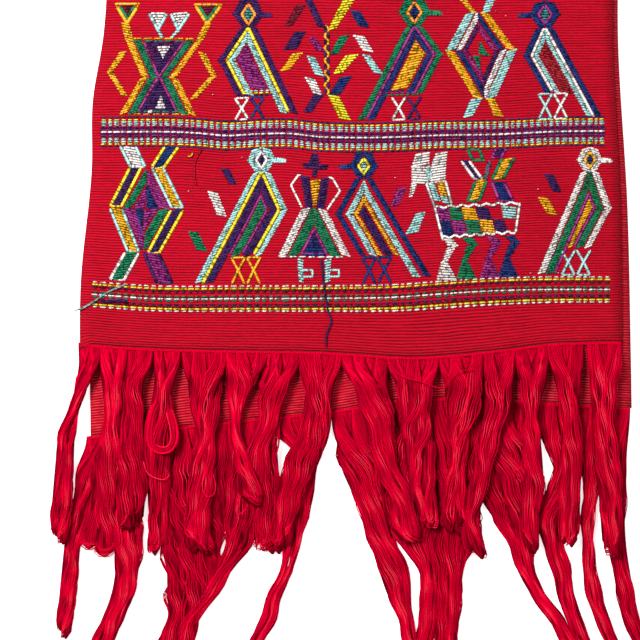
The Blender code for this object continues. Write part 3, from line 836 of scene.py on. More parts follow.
def horse(pattern):
    """A horse of two rows of slanted blocks between wavy threads, with a crossed rider."""
    pattern.blocks((
        ("white", 127, -62.5, -48.5, 114, -67, -48.5), ("white", 127, -42.5, -30.5, 114, -47.5, -31.5),
        ("white", 114, -67, -48.5, 97, -66.5, -48.5), ("white", 114, -48.5, -31.5, 97, -48.5, -33),
        ("white", 98.5, -67, -59.5, 84, -69, -66), ("aqua", 98, -50, -43.5, 80, -44.5, -37),
        ("golden", 98.5, -42, -33.5, 84, -38, -30.5), ("aqua", 84, -38, -31, 76, -35.5, -28.5),
        ("magenta", 72, -42, -29.5, 58, -38, -27), ("green", 72, -29.5, -16.8, 58, -27, -13.5),
        ("golden", 72, -16.8, -3, 58, -13.5, 1), ("purple", 72, -3, 10, 58, 1, 14.5),
        ("aqua", 72, 22.5, 38, 58, 25.5, 37), ("navy", 58, -38, -27, 45, -35, -23.5),
        ("magenta", 58, -27, -13.5, 45, -23.5, -10), ("green", 58, -13.5, 1, 45, -10, 4.5),
        ("golden", 58, 1, 14.5, 45, 4.5, 17.5), ("purple", 58, 14.5, 26, 45, 17.5, 30),
    ))
    pattern.lift = OVER_FLOATS
    top, bottom = (-49, 116), (-49, 98.5)
    pattern.nest([top, (-54, 106.5), bottom], [top, (-44, 106.5), bottom], [], centre="aqua")
    pattern.lift = 0.0
    wave = np.linspace(0, 1, 60)
    for left, right, up, tilt in ((-43, 41.5, 73, 1.5), (-36.5, 37.5, 43, 2.0)):
        points = np.stack([left + (right - left) * wave, up + tilt * wave + 1.1 * np.sin(wave * 44)], 1)
        pattern.thread("white", 2.4, points, 0.0004)
    pattern.thread("white", 2.4, [(-52, 98), (-43, 73), (-35, 40)], 0.0003)
    pattern.thread("white", 2.6, [(-32.5, 99), (-26, 74.5)], 0.0003)
    pattern.thread("white", 2.4, [(41.5, 74.5), (37.5, 45)], 0.0003)
    for yarn, x in (("white", -35), ("green", -15), ("magenta", 8.5), ("navy", 27)):
        pattern.blocks((
            (yarn, 42, x - 1, x + 10, 35, x + 4, x + 15), (yarn, 35, x + 4, x + 15, 19, x - 1.5, x + 5),
            (yarn, 19, x - 1.5, x + 5, 1, x - 7, x + 14),
        ))
    for row in (
        (None, "green", 129, -12, 2.5, 118.5, -6.5, 7), ("purple", "magenta", 129.5, 16.5, 30, 120, 12, 24),
        ("purple", "white", 118, -18, -7.5, 99.5, -4.5, 6), ("golden", "green", 120, 22.5, 38, 99, 12.5, 26),
        ("golden", "green", 98, -4, 10, 77.5, -12, 2.5), ("navy", "magenta", 97, 12, 27, 76.5, 20, 36.5),
    ):
        pattern.outlined(*row)
    for up in (129, 118.5):
        x = -12 + (129 - up) * 0.52
        pattern.thread("green", 2.2, [(x, up), (x + 14, up)])
    rise = np.linspace(118, 99, 30)
    for yarn, phase in (("magenta", 0.0), ("green", pi)):
        across = 7.2 + 0.22 * (rise - 99) + 1.3 * np.sin(rise * 0.7 + phase)
        pattern.thread(yarn, 2.0, np.stack([across, rise], 1), 0.0002)


def border(pattern, kind, line):
    """A border band: rows of dashes in step across the whole width, cut by warp columns."""
    pattern.at(0, line)
    rng = np.random.default_rng(int(abs(line) * 1e5))
    left, right = side_edges(line, 0.0)
    columns, margin = (6.4, 0.0065) if kind == 1 else (7.3, 0.009)
    pitch, jitter = columns * STEP, 0.17
    x = np.arange(left + margin, right - 0.004, pitch)
    x = x + rng.uniform(-jitter, jitter, len(x)) * pitch
    rows = (
        ("navy", 14.3, 0.6, 0.0006), ("lemon", 12.1, 0.78, 0), ("aqua", 9.9, 0.85, 0), ("aqua", 7.8, 0.7, 0),
        ("white", 6.3, 0.36, -0.0003), ("magenta", 5.0, 0.5, 0.0004), ("purple", 3.4, 0.6, 0.0005),
        ("magenta", 1.9, 0.5, 0.0006), ("white", 0, 0.9, 0.0004), ("purple", -2.0, 0.6, 0.0006),
        ("magenta", -3.5, 0.6, 0.0005), ("purple", -5.1, 0.5, 0.0004), ("white", -6.4, 0.36, -0.0003),
        ("aqua", -7.8, 0.7, 0), ("aqua", -9.8, 0.85, 0),
        ("lemon", -12.1, 0.78, 0), ("navy", -14.3, 0.6, 0.0006),
    ) if kind == 1 else (
        ("white", 12.6, 0.72, -0.0002), ("lemon", 10.1, 0.82, 0.0003), ("maroon", 8.0, 0.6, 0.0006),
        ("purple", 6.8, 0.5, -0.0006), ("green", 2.6, 0.68, -0.0004), ("maroon", 1.5, 0.4, 0.0006),
        ("white", 0, 0.8, 0.0003), ("green", -2.3, 0.72, -0.0004), ("purple", -5.9, 0.68, -0.0001),
        ("maroon", -7.9, 0.6, 0.0006), ("lemon", -10.1, 0.85, 0.0003), ("white", -12.4, 0.8, -0.0003),
    )
    for yarn, up, width, cover in rows:
        pattern.dashes(yarn, up, x, width, cover)


def stand(pattern, x, foot, side=1, tall=1.0):
    """Sets the pattern's place so that a figure's foot is at y = foot where the weft strays."""
    pattern.at(x, foot - float(stray(x * STEP, foot)), side, tall)


def weave_photo_rows(pattern):
    """The two rows of figures next to the hem."""
    foot = FEET[0]
    stand(pattern, -192.5, foot)
    vase(pattern)
    stand(pattern, -106.5, foot, -1)
    bird(pattern, 92, (31, 60), (12.5, 23), (-49.5, 6), [("purple", 7.8), ("lemon", 3.2), ("aqua", 7.4)],
         "magenta", ("orange", "teal", 8, 11.6), ("navy", "white"), beak=-0.88, size=1.1, legs_at=-1, ends=3,
         bars="top")
    pattern.thread("white", 1.9, [(9, 0.2), (0.3, 0.2)])
    stand(pattern, -28.2, foot)
    paired_leaves(pattern)
    stand(pattern, 59.5, foot)
    bird(pattern, 92.5, (29, 64), (8.2, 24), (-57, 1), [("green", 7.8), ("magenta", 2.5), ("navy", 7.4)],
         "golden", ("orange", "navy", 8.4, 11.6), ("white", "purple"), size=1.12, legs_at=-8, ends=3)
    stand(pattern, 125, foot)
    diamond(pattern)
    stand(pattern, 190, foot, -1)
    bird(pattern, 94, (22, 65), (1, 27), (-58, 1), [("navy", 7.5), ("white", 2.8), ("aqua", 6)],
         "brick", ("magenta", "teal", 8, 11.2), ("white", "aqua"), size=1.08, legs_at=-8, bars="top foot")
    foot = FEET[1]
    stand(pattern, -208.5, foot)
    chevrons(pattern)
    stand(pattern, -93.5, foot)
    bird(pattern, 111.5, (26.5, 73.5), (0.5, 28), (-68, 0.5),
         [("aqua", 7.2), ("lemon", 3.3), ("purple", 9.4), ("magenta", 2.0)],
         "green", ("white", "purple", 6.6, 9.8), ("golden", "golden"), legs_at=-15.5, bars="top")
    stand(pattern, -40, foot)
    person(pattern)
    stand(pattern, 8.8, foot, -1, 1.02)
    bird(pattern, 107, (29, 70.5), (4.6, 28), (-67, 5),
         [("navy", 7.4), (None, 2.8), ("aqua", 8.4), ("golden", 5.2)],
         "purple", ("lemon", "aqua", 6.8, 9.2), ("navy", "navy"), legs_at=-13, bars="top")
    stand(pattern, 123, -0.2571, 1, 1.057)
    horse(pattern)
    stand(pattern, 235, -0.2540, 1, 1.05)
    bird(pattern, 104, (22, 66), (1, 26), (-53, 1), [("white", 8), ("green", 8.6), ("magenta", 2.4)],
         "golden", ("golden", "navy", 6.4, 9), ("aqua", "aqua"), size=0.9, legs_at=-14)
    pattern.at(0, foot)
    pattern.blocks((
        ("purple", 118, -135, -126, 102, -127, -118), ("white", 92, -148, -137, 69, -138, -128),
        ("green", 54, -168, -157, 35, -159, -148), ("magenta", 98, 42, 52, 79, 35, 44),
        ("aqua", 72, 61, 71, 50, 50, 63), ("purple", 107, 188.5, 198.5, 87.5, 197, 206.5),
        ("golden", 82.5, 181.5, 192.5, 63.5, 192, 203),
    ))


def weave_far_rows(pattern):
    """The rows nearer the fold, of the same kinds of figure in other orders and yarns."""
    coats = (
        [("golden", 7.6), ("magenta", 2.6), ("green", 7.4)],
        [("aqua", 7.4), ("lemon", 3.2), ("navy", 8)],
        [("purple", 7.6), ("white", 2.8), ("green", 7)],
    )
    for index, order in (
        (2, (bird, horse, diamond, vase, bird, paired_leaves)),
        (3, (chevrons, bird, person, vase, diamond, bird)),
    ):
        foot = BAND_LINES[index][1] + FOOT_OVER_BAND
        for k, (figure, x) in enumerate(zip(order, np.linspace(-196, 196, len(order)))):
            pattern.at(x, foot, 1 if (k + index) % 2 else -1)
            if figure is bird:
                bird(pattern, 93, (29, 63), (6, 25), (-52, 1), coats[(k + index) % 3],
                     ("purple", "golden", "magenta")[k % 3], ("white", "navy", 6.4, 9), ("white", "golden"))
            elif figure is diamond:
                diamond(pattern, *(("lemon", "green") if index % 2 else ("aqua", "golden")))
            elif figure is vase:
                vase(pattern, "aqua", "navy", "lemon", "green")
            elif figure is horse:
                pattern.at(x, foot, 1, 0.86)
                horse(pattern)
            else:
                figure(pattern)
    foot = BAND_LINES[4][1] + FOOT_OVER_BAND
    for k, x in enumerate(range(-222, 230, 37)):
        a, b = ("lemon", "purple") if k % 2 else ("aqua", "navy")
        pattern.at(x, foot)
        pattern.outlined(b, a, 42, -12, 4, 22, 0, 16)
        pattern.outlined(a, b, 22, 0, 16, 3, -12, 4)


def float_grid(rows, sizes, rng):
    """Floats as flattened tubes of four stations. Each dives into the cloth at its ends:
    half width and height are shaped along it, and its profile is a low arch. A leaning one
    rises by up to a rib from end to end."""
    end_jitter, row_jitter, dive_run, most_rise = 0.00016, 0.00012, 0.0011, 0.0026
    a, b, line, lean, width, above = rows.T
    a, b = a + rng.normal(0, end_jitter, len(a)), b + rng.normal(0, end_jitter, len(a))
    reach = np.minimum(0.24, dive_run / (b - a))[:, None]
    t = np.concatenate([0 * reach, reach, 1 - reach, 1 + 0 * reach], axis=1)
    x = a[:, None] + (b - a)[:, None] * t
    shape = np.array([0.4, 1.0, 1.0, 0.4])
    dive = np.array([-0.3, 1.0, 1.0, -0.3])
    half = sizes.float_width / 2 * width[:, None] * shape * rng.uniform(0.9, 1.08, (len(a), 1))
    rise = lean * np.minimum(0.4 * (b - a), most_rise) + rng.normal(0, row_jitter, len(a))
    lines = (line[:, None] + rise[:, None] * (t - 0.5))[:, :, None]
    lines = lines + half[:, :, None] * np.array([-1, -0.5, 0.5, 1])
    high = sizes.float_height * rng.uniform(0.75, 1.2, (len(a), 1)) * dive
    lift = high[:, :, None] * np.array([0.0, 1.0, 1.0, 0.0]) + 0.0001 + above[:, None, None]
    return lay(np.broadcast_to(x[:, :, None], lines.shape), lines, lift)


def thread_grid(width, path, lift, sizes):
    """A laid-in thread: a low arch carried along a path that is divided every millimetre, with
    teeth on every other one, narrowed and sunk at both ends."""
    tooth, sunk_end = 0.00105, 0.0012
    run = np.concatenate([[0], np.cumsum(np.linalg.norm(np.diff(path, axis=0), axis=1))])
    stations = max(4, int(run[-1] / tooth) + 2)
    at = np.linspace(0, run[-1], stations)
    points = np.stack([np.interp(at, run, path[:, k]) for k in (0, 1)], axis=1)
    along = np.gradient(points, axis=0)
    along = along / np.linalg.norm(along, axis=1, keepdims=True)
    aside = np.stack([along[:, 1], -along[:, 0]], axis=1)
    end = eased(np.minimum(at, run[-1] - at) / sunk_end)
    across = np.array([1.0, 0.55, -0.55, -1.0])[:, None]
    half = (width * STEP / 2 + 0.0003) * (0.5 + 0.5 * end) * (1 + 0.2 * (-1.0) ** np.arange(stations))
    places = points[:, None] - aside[:, None] * across * half[:, None, None]
    high = (sizes.float_height * 1.05 + lift) * (0.15 + 0.85 * end)
    lifts = high[:, None] * np.array([0.0, 1.0, 1.0, 0.0]) + 0.7 * lift - 0.0002
    return lay(places[..., 0], places[..., 1], lifts)[None]


def make_brocade(prefix, pattern, context):
    """One object for each yarn of a pattern."""
    sizes, yarns = context.scene.throw_weave, context.scene.throw_yarns
    rng = np.random.default_rng(7)
    for yarn in sorted(set(pattern.floats) | set(pattern.threads)):
        grids, tones = [], []
        if yarn in pattern.floats:
            rows = np.concatenate(pattern.floats[yarn])
            grids.append(float_grid(rows, sizes, rng))
            tones.append(rng.uniform(0, 1, len(rows)))
        for width, path, lift in pattern.threads.get(yarn, []):
            grids.append(thread_grid(width, path, lift, sizes))
            tones.append(rng.uniform(0.4, 0.8, 1))
        key = "brocade_yarn_" + yarn
        material = bpy.data.materials.get(key) or soft_yarn(key, tuple(getattr(yarns, yarn)), base=0.47)
        piece = add_tubes(f"{prefix}_{yarn}", grids, tones, material)
        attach(piece, "root")


def cloth_grid(sizes):
    """The outside of the folded cloth as rows of points and their weft lines. The lower half
    lies flat, the roll of the fold is a half circle about a slightly wavy line, and the upper
    half follows its weft lines over the swells."""
    fold_wave, fold_run, roll = 0.0012, 0.010, ROLL_HEIGHT / 2
    share = np.linspace(0, 1, sizes.columns + 1)
    turn_y = FOLD_Y - roll + fold_wave * np.sin(share * 2.3 * pi)
    rows, lines = [], []
    left, right = side_edges(HEM_Y, SIDE_SLIP)
    hem = hem_y(LOWER_HEM, left + (right - left) * share)
    for t in np.linspace(0, 1, sizes.rows + 1):
        y = hem + (turn_y - hem) * t
        left, right = side_edges(y, SIDE_SLIP)
        rows.append(np.stack([left + (right - left) * share, y, 0 * y], 1))
        lines.append(LOWER_HEM_AT + (FOLD_AT - LOWER_HEM_AT) * t)
    for angle in np.linspace(0, pi, 14)[1:-1]:
        y = turn_y + roll * sin(angle)
        left, right = side_edges(y, 0.0)
        rows.append(np.stack([left + (right - left) * share, y, 0 * y + roll - roll * cos(angle)], 1))
        lines.append(FOLD_AT - fold_run * angle / pi)
    for t in np.linspace(0, 1, sizes.rows + 1):
        y = line = turn_y + (HEM_Y - turn_y) * t
        for _ in range(2):
            left, right = side_edges(y, 0.0)
            x = left + (right - left) * share
            y = line + stray(x, line)
        rows.append(np.stack([x, y, face_height(x, y)], 1))
        lines.append(line.mean() - HEM_Y)
    return np.array(rows), np.array(lines)


class THROW_OT_cloth(bpy.types.Operator):
    """Weaves the folded cloth: one ribbed sheet over its whole length"""

    bl_idname = "throw.cloth"
    bl_label = "Ribbed cloth"

    def execute(self, context):
        sizes, yarns = context.scene.throw_weave, context.scene.throw_yarns
        grid, lines = cloth_grid(sizes)
        rows, columns = grid.shape[:2]
        number = np.arange(rows * columns).reshape(rows, columns)
        quads = np.stack([number[:-1, :-1], number[1:, :-1], number[1:, 1:], number[:-1, 1:]], -1)
        mesh = bpy.data.meshes.new("woven_cloth")
        mesh.from_pydata(grid.reshape(-1, 3).tolist(), [], quads.reshape(-1, 4).tolist())
        layer = mesh.uv_layers.new(name="cloth")
        flat = np.stack([grid[..., 0], np.repeat(lines[:, None], columns, 1)], -1).reshape(-1, 2)
        layer.uv.foreach_set("vector", flat[quads.reshape(-1)].astype(np.float32).reshape(-1))
        mesh.shade_smooth()
        mesh.materials.append(ribbed_cotton(tuple(yarns.ground), RIB, sizes.rib_depth))
        cloth = add("woven_cloth", mesh)
        thick = cloth.modifiers.new("sheet", "SOLIDIFY")
        thick.thickness = SHEET
        thick.offset = -1
        thick.use_even_offset = True
        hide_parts("throw_cloth")
        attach(cloth, "root")
        return {"FINISHED"}


class THROW_OT_bands(bpy.types.Operator):
    """Weaves the border bands of dashed rows across the cloth"""

    bl_idname = "throw.bands"
    bl_label = "Border bands"

    def execute(self, context):
        pattern = Pattern()
        for kind, line in BAND_LINES:
            border(pattern, kind, line)
        make_brocade("band", pattern, context)
        return {"FINISHED"}


class THROW_OT_figures(bpy.types.Operator):
    """Weaves the rows of birds, figures, diamonds and leaves between the bands"""

    bl_idname = "throw.figures"
    bl_label = "Brocaded figures"

    def execute(self, context):
        pattern = Pattern()
        weave_photo_rows(pattern)
        weave_far_rows(pattern)
        make_brocade("figures", pattern, context)
        return {"FINISHED"}


def hank_sides(row, levels, depth):
    """Middle and half width of a hank at depths below HEM_Y, in metres: smooth curves through
    the levels that lie above its tip and the tip itself."""
    tip_room, narrowest = 4, 5
    known = [d for d in levels if d < row[-1] - tip_room]
    places = np.array([*known, row[-1]])
    middles = [*row[0:-3:2][: len(known)], row[-3]]
    widths = [*row[1:-2:2][: len(known)], row[-2]]
    at = depth * 1000
    middle, width = (through(list(zip(places, values)), at) for values in (middles, widths))
    return middle / 1000, np.maximum(width, narrowest) / 2000


class Hank:
    """One hank of the fringe: bunches of loops that wind about its middle line.

    At a share f of the fall, a place (a, b) in the hank's round section is at
    x = middle(f) + half(f) * a and z = base(f) + tall * (0.5 + 0.5 * b). Bunch j has its own
    middle in that section, and all of them turn about (0, 0) as the hank winds.
    """

    def __init__(self, row, levels, hem, heights, sizes, rng):
        self.row, self.levels, self.hem, self.sizes, self.rng = row, levels, hem, sizes, rng
        self.start, self.tall, self.low, self.over = heights
        self.count = max(2, round(row[1] / sizes.bunch / 1000))
        root_depth = 5 if levels is UPPER_LEVELS else 50
        self.length = (row[-1] - root_depth) / 1000
        self.wind = rng.choice([-1, 1]) * rng.uniform(0.15, 0.45) * 2 * pi
        self.knee = rng.uniform(0.3, 0.7)
        self.bend = rng.uniform(0, 2 * pi, 2)[1]

    def place(self, seat, f, a, b):
        """Points at shares f of the fall for places (a, b), grown out of seats along the hem:
        from a row one yarn high, they ease to the hank's own width and height."""
        row, flat = self.row, 0.0006
        root_x = row[0] / 1000 + row[1] / 2000 * 1.02 * seat
        root_y = self.hem(root_x) + 0.0008
        tip_y = HEM_Y - row[-1] / 1000
        y = root_y + (tip_y - root_y) * f
        middle, half = hank_sides(row, self.levels, HEM_Y - y)
        gathered = eased(f / GATHERED)
        x = root_x + (middle + 1.14 * half * a - root_x) * gathered
        settle = eased(f / 0.16)
        rest = self.over + (self.low - self.over) * eased((f - 0.5) / 0.3)
        middle_z = self.start + (rest + self.tall / 2 - self.start) * settle
        reach = flat + (self.tall / 2 - flat) * settle
        return np.stack(np.broadcast_arrays(x, y, middle_z + reach * b), axis=-1)

    def bunches(self):
        """For each bunch: its seat, its place and size in the section, and how far it falls."""
        rng = self.rng
        size = (0.62, 0.52, 0.47, 0.42, 0.38)[min(self.count, 6) - 2]
        for j in range(self.count):
            seat = (j + 0.5) / self.count * 2 - 1
            out = (1 - size) * rng.uniform(0.85, 1.0)
            angle = np.arccos(np.clip(seat, -1, 1)) * (1 if (j + self.count) % 2 else -1)
            yield seat, out, angle, size * rng.uniform(0.9, 1.1), rng.uniform(0.95, 1.0) if j else 1.0

    def turned(self, f, out, angle):
        """A bunch's middle in the section at shares f of the fall."""
        turn = angle + self.wind * eased((f - self.knee + 0.45) / 0.9)
        return out * np.cos(turn), out * np.sin(turn)

    def loops(self):
        """Paths of the yarns, (loops, stations, 3), and their tones, with painted light and shade.

        u runs from -1 to 1 along a loop, and f = reach * (1 - |u|^1.6). The yarn keeps to one
        side of its bunch on the way down and to the other side on the way back.
        """
        rng, sizes, wave_length = self.rng, self.sizes, 0.027
        u = np.linspace(-1, 1, round(sizes.stations * (0.5 + self.length / 0.3)))
        u = (np.sign(u) * np.abs(u) ** 0.8)[None]
        back = eased((u + 0.2) / 0.4)
        paths, tones = [], []
        for seat, out, angle, size, reach in self.bunches():
            count = sizes.loops + int(rng.integers(-2, 3))
            around = (np.arange(count)[:, None] + rng.uniform(0.25, 0.75, (count, 1))) / count * pi - pi / 2
            ridge = np.sin(around * rng.uniform(3.0, 5.5) + rng.uniform(0, 2 * pi))
            apart = rng.uniform(0, 1, (count, 1)) ** 12
            inner = 0.93 + 0.06 * ridge - rng.uniform(0, 0.12, (count, 1)) + 0.1 * apart
            fall = reach * (1 - 0.03 * np.sin(around) ** 2 - rng.uniform(0, 0.035, (count, 1)))
            fall = fall * (1 - np.abs(u) ** 1.6)
            a, b = self.turned(fall, out, angle)
            side = around + (pi - 2 * around) * back
            twist = self.bend + rng.uniform(-0.2, 0.2) + self.wind * 1.2 * fall + side
            loose = 1 + 0.15 * apart * np.sin(fall * 9 + 6 * apart)
            a = a + size * inner * loose * np.cos(twist)
            b = b + size * inner * np.sin(twist)
            free = eased(fall / GATHERED)
            flow = np.sin(fall * rng.uniform(2.0, 3.2) * 2 * pi + rng.uniform(0, 2 * pi))
            waves = rng.uniform(0.85, 1.15) * self.length / wave_length
            phase = fall * waves * 2 * pi + rng.uniform(0, 2 * pi) + 0.9 * np.cos(twist) + 0.5 * side
            swing = np.sin(phase)
            crimp = np.sin(fall * rng.uniform(4, 8, (count, 1)) * 2 * pi + rng.uniform(0, 2 * pi, (count, 1)))
            a = a + free * (0.1 * flow + sizes.wave * (190 * swing + 40 * crimp))
            b = b + free * 0.07 * np.cos(fall * rng.uniform(3, 6, (count, 1)) * 2 * pi + 6 * around)
            level = np.cos(around) * (1 - 2 * back)
            seats = seat - level / self.count
            paths.append(self.place(seats, fall, a, b))
            # Painted light and shade: lighter on the crests of the waves and high in the section, darker down
            # the flanks of the hank and of each bunch.
            painted_light_and_shade = 0.22 * np.cos(phase) + 0.18 * b - 0.3 * a**2 - 0.35 * np.cos(twist) ** 2
            # A random tone for each yarn, with painted light on the yarns that stand out on a ridge.
            own = rng.uniform(0.5, 0.7) + 0.15 * ridge + rng.normal(0, 0.08, (count, 1))
            # Painted shade near the root, under the hem, where the yarn is not yet free.
            tones.append(own + (painted_light_and_shade + 0.26) * free - 0.16)
        return np.concatenate(paths), np.clip(np.concatenate(tones), 0, 1)

    def cores(self):
        """The inside of each bunch as a thicker strand that fills the room between its yarns, painted dark as
        the shade there and lighter near the root.
        """
        f = np.linspace(0.0, 1, 34)[None] ** 1.2
        grids = []
        for seat, out, angle, size, reach in self.bunches():
            fall = f * reach * 0.998
            a, b = self.turned(fall, out, angle)
            turn = np.arange(8) * pi / 4
            taper = np.sqrt(np.clip((1.0005 - f) / 0.025, 0, 1)) * 0.93
            a = a[..., None] + size * taper[..., None] * np.cos(turn)
            low = 0.1 + 0.9 * eased(fall / GATHERED)
            b = b[..., None] + size * (taper * low)[..., None] * np.sin(turn)
            rim = seat + taper[..., None] * np.cos(turn) / self.count * 1.25
            grids.append(self.place(rim, np.repeat(fall[..., None], 8, -1), a, b))
        return np.concatenate(grids), np.repeat(0.45 * (1 - eased(f / GATHERED)), self.count, 0)


def crimson(context, inside=False):
    """The crimson warp yarn of both fringes: brighter on the loops, and painted dark on the insides as the
    shade between them.
    """
    # The insides are painted darker, as shade between the loops.
    name, fibres, spread, base, fluffy = (
        ("crimson_insides", (60.0, 16.0), 0.5, -0.25, 1.0) if inside
        else ("crimson_loops", (90.0, 3.0), 0.7, 0.14, 0.52)
    )
    yarn = tuple(context.scene.throw_yarns.fringe)
    return bpy.data.materials.get(name) or soft_yarn(
        name, yarn, twist=0.0, fibres=fibres, depth=0.0002, spread=spread, base=base, fluffy=fluffy,
        gloss=0.0)


def heading(name, hem, slip, height, context):
    """The twined row that closes a hem: two strands that wind round each other, each a sine
    wave about the hem's line and half a turn behind the other."""
    left, right = side_edges(HEM_Y, slip)
    inset, below, pitch, across, up, radius = 0.001, 0.0010, 0.0030, 0.0007, 0.0004, 0.0006
    x = np.linspace(left + inset, right - inset, 640)
    turn = x * 2 * pi / pitch + np.array([[0], [pi]])
    y, z = hem(x) - below + across * np.sin(turn), height + up * np.cos(turn)
    paths = np.stack(np.broadcast_arrays(x, y, z), -1)
    return add_tubes(name, [tube(paths, radius, 5)], [np.array([0.5, 0.7])], crimson(context))


def make_fringe(name, hanks, levels, depths, heights_of, together, edge, context):
    """The hanks of one fringe: an object for the loops of every few neighbouring hanks, one for
    the insides of all the bunches, and one for the heading. edge gives how far the hem has
    slipped sideways and how high its heading lies."""
    sizes = context.scene.throw_fringe

    def hem(x):
        """Y of this fringe's hem at x."""
        return hem_y(depths, x)

    def shape(k):
        """Hank k, with its own random draws."""
        return Hank(hanks[k], levels, hem, heights_of(k), sizes, np.random.default_rng(100 + k))

    made = []
    for index, first in enumerate(range(0, len(hanks), together)):
        last = min(first + together, len(hanks))
        paths, tones = zip(*(shape(k).loops() for k in range(first, last)))
        grids = [tube(path, sizes.yarn / 2, 3) for path in paths]
        made.append(add_tubes(f"{name}_loops_{index + 1}", grids, tones, crimson(context)))
    grids, tones = zip(*(shape(k).cores() for k in range(len(hanks))))
    made.append(add_tubes(name + "_insides", grids, tones, crimson(context, inside=True)))
    made.append(heading(name + "_heading", hem, *edge, context))
    for piece in made:
        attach(piece, "root")
    return made


class THROW_OT_upper_fringe(bpy.types.Operator):
    """Hangs the looped hanks of the upper half's hem over the lower fringe"""

    bl_idname = "throw.upper_fringe"
    bl_label = "Upper fringe"

    def execute(self, context):
        def heights(k):
            """Height of a hank's root, its own depth, and how high its tip and its top lie. Three
            hanks sink to the floor between the others."""
            return 0.0029, 0.0056, 0.0 if k in (1, 3, 6) else 0.0055, 0.0055

        edge = (0.0, 0.0036)
        made = make_fringe("upper", UPPER_HANKS, UPPER_LEVELS, UPPER_HEM, heights, 4, edge, context)
        for piece in made:
            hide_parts("upper_fringe")
        return {"FINISHED"}


class THROW_OT_lower_fringe(bpy.types.Operator):
    """Lays the looped hanks of the lower half's hem on the floor"""

    bl_idname = "throw.lower_fringe"
    bl_label = "Lower fringe"

    def execute(self, context):
        def heights(_):
            """Height of a hank's root, its own depth, and how high its tip and its top lie."""
            return 0.0012, 0.0052, 0.0, 0.0

        edge = (SIDE_SLIP, 0.0015)
        made = make_fringe("lower", LOWER_HANKS, LOWER_LEVELS, LOWER_HEM, heights, 3, edge, context)
        for piece in made:
            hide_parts("lower_fringe")
        return {"FINISHED"}


def strands(points, count, wide, rng):
    """Paths of a bunch of yarns along a smooth curve through points (x, y, z) in metres. Yarn k
    keeps its place in the bunch's oval section, which turns slowly on the way."""
    points, spacing, swelling = np.array(points), 0.0024, 0.006
    run = np.concatenate([[0], np.cumsum(np.linalg.norm(np.diff(points[:, :2], axis=0), axis=1))])
    s = np.linspace(0, run[-1], max(8, int(run[-1] / spacing)))
    x, y, z = (through(np.stack([run, points[:, k]], 1), s) for k in range(3))
    dx, dy = np.gradient(x), np.gradient(y)
    far = np.maximum(np.hypot(dx, dy), 1e-9)
    turn = rng.uniform(0, 2 * pi, (count, 1)) + s / run[-1] * 2.0
    wide = wide * np.sqrt(rng.uniform(0, 1, (count, 1))) * (1 + 0.15 * np.sin(s / swelling + turn))
    a, b = wide * np.cos(turn), 0.6 * wide * np.sin(turn)
    return np.stack(np.broadcast_arrays(x - a * dy / far, y + a * dx / far, z + b), -1)


class THROW_OT_loose_ends(bpy.types.Operator):
    """Lays the loose ends of yarn and the lint on the cloth, and the loops on the fringe"""

    bl_idname = "throw.loose_ends"
    bl_label = "Loose ends"

    def execute(self, context):
        rng = np.random.default_rng(3)
        yarns, made, clear, loop_radius = context.scene.throw_yarns, [], 0.0009, 0.00048
        lint = [("white", 0.45, 1, 0, (x - 0.4, y), (x + 0.4, y + 0.2)) for x, y in LINT]
        for name in sorted({row[0] for row in TAILS}):
            grids, tones = [], []
            for yarn, thick, count, wide, *places in (*TAILS, *lint):
                if yarn != name:
                    continue
                x, y = np.array(places).T / 1000
                points = np.stack([x, y, face_height(x, y) + clear + thick / 1000], 1)
                paths = strands(points, count, wide / 1000, rng)
                end = np.sqrt(np.sin(np.linspace(0.02, pi - 0.02, paths.shape[1])))
                grids.append(tube(paths, thick / 1000 * (0.4 + 0.6 * np.minimum(1, 2 * end)), 6))
                tones.append(rng.uniform(0.3, 0.9, count))
            material = soft_yarn("loose_end_" + name, tuple(getattr(yarns, name)), twist=300.0)
            made.append((add_tubes("tail_" + name, grids, tones, material), "ribbed_cotton"))
        grids, tones = [], []
        for wide, count, *points in LOOSE_LOOPS:
            grids.append(tube(strands(np.array(points) / 1000, count, wide / 1000, rng), loop_radius, 4))
            tones.append(rng.uniform(0.3, 1.0, count))
        made.append((add_tubes("tail_crimson", grids, tones, crimson(context)), "fringe_yarn"))
        for piece, slot in made:
            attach(piece, "root")
        return {"FINISHED"}


class THROW_OT_declare(bpy.types.Operator):
    """An empty step that makes and changes nothing."""

    bl_idname = "throw.declare"
    bl_label = "State the cut"

    def execute(self, context):
        return {"FINISHED"}


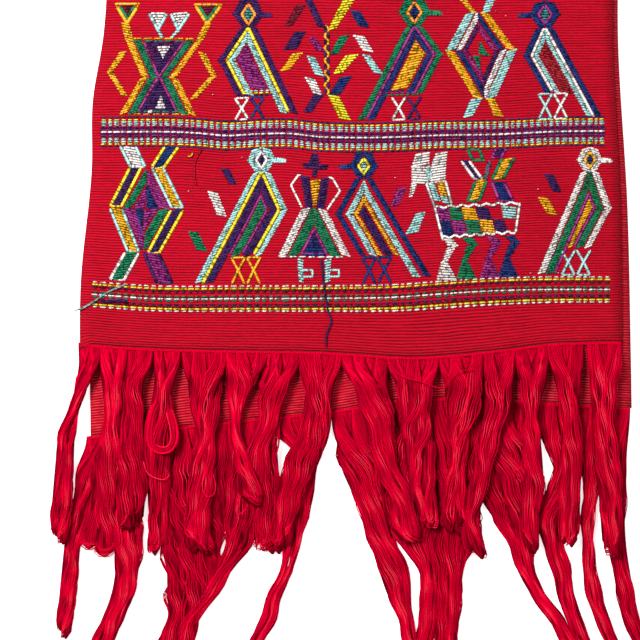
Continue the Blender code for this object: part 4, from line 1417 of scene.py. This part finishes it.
class THROW_OT_studio(bpy.types.Operator):
    """Sets up the pale floor, the soft lights and the camera straight above"""

    bl_idname = "throw.studio"
    bl_label = "Floor, lights and camera"

    def execute(self, context):
        studio, white = context.scene.throw_studio, (1, 1, 1, 1)
        half, below, cloth_face = 3, -0.0004, 0.005
        mesh = bpy.data.meshes.new("floor")
        corners = [(x * half, y * half, below) for x, y in ((-1, -1), (1, -1), (1, 1), (-1, 1))]
        mesh.from_pydata(corners, [], [(0, 1, 2, 3)])
        # Matt white card with light under it: it stays even and pale, with faint soft shadows.
        material = bpy.data.materials.new("pale_floor")
        material.use_nodes = True
        give(material.node_tree.nodes["Principled BSDF"], {
            "Base Color": (*studio.floor, 1),
            "Roughness": 0.9,
            "Emission Color": white,
            "Emission Strength": studio.glow,
        })
        mesh.materials.append(material)
        floor = add("floor", mesh)
        world = bpy.data.worlds.new("soft_surround")
        world.use_nodes = True
        give(world.node_tree.nodes["Background"], {"Color": white, "Strength": studio.fill})
        context.scene.world = world
        context.scene.view_settings.view_transform = "Standard"
        target = Vector((studio.view_x, studio.view_y, 0))
        for name, offset, size, power in (
            ("key_light", (-0.75, 0.7, 1.4), 0.6, studio.key),
            ("side_light", (1.2, 0.2, 1.6), 1.4, studio.key * 0.25),
        ):
            lamp = bpy.data.lights.new(name, "AREA")
            lamp.size = size
            lamp.energy = power
            placed = add(name, lamp)
            placed.location = target + Vector(offset)
            placed.rotation_euler = (-Vector(offset)).to_track_quat("-Z", "Y").to_euler()
        lens = bpy.data.cameras.new("camera")
        lens.sensor_width = 36.0
        lens.lens = lens.sensor_width * (studio.view_height - cloth_face) / studio.view_size
        camera = add("camera", lens)
        camera.location = target + Vector((0, 0, studio.view_height))
        context.scene.camera = camera
        return {"FINISHED"}


class THROW_PT_panel(bpy.types.Panel):
    """The steps of making the throw"""

    bl_idname = "THROW_PT_panel"
    bl_label = "Throw"
    bl_space_type = "VIEW_3D"
    bl_region_type = "UI"
    bl_category = "Throw"

    def draw(self, context):
        for step in STEPS:
            self.layout.operator(step.bl_idname)


GROUPS = (("throw_yarns", ThrowYarns), ("throw_weave", ThrowWeave), ("throw_fringe", ThrowFringe),
          ("throw_studio", ThrowStudio))
STEPS = (THROW_OT_studio, THROW_OT_cloth, THROW_OT_bands, THROW_OT_figures, THROW_OT_lower_fringe,
         THROW_OT_upper_fringe, THROW_OT_loose_ends, THROW_OT_declare)


def register():
    """Adds the property groups, the operators and the panel to Blender."""
    for name, group in GROUPS:
        bpy.utils.register_class(group)
        setattr(bpy.types.Scene, name, PointerProperty(type=group))
    for made in (*STEPS, THROW_PT_panel):
        bpy.utils.register_class(made)


def unregister():
    """Takes them out again, in the opposite order."""
    for made in (THROW_PT_panel, *reversed(STEPS)):
        bpy.utils.unregister_class(made)
    for name, group in reversed(GROUPS):
        delattr(bpy.types.Scene, name)
        bpy.utils.unregister_class(group)


def main():
    """Makes the throw step by step."""
    register()
    for step in STEPS:
        group, name = step.bl_idname.split(".")
        getattr(getattr(bpy.ops, group), name)()


if __name__ == "__main__":
    main()
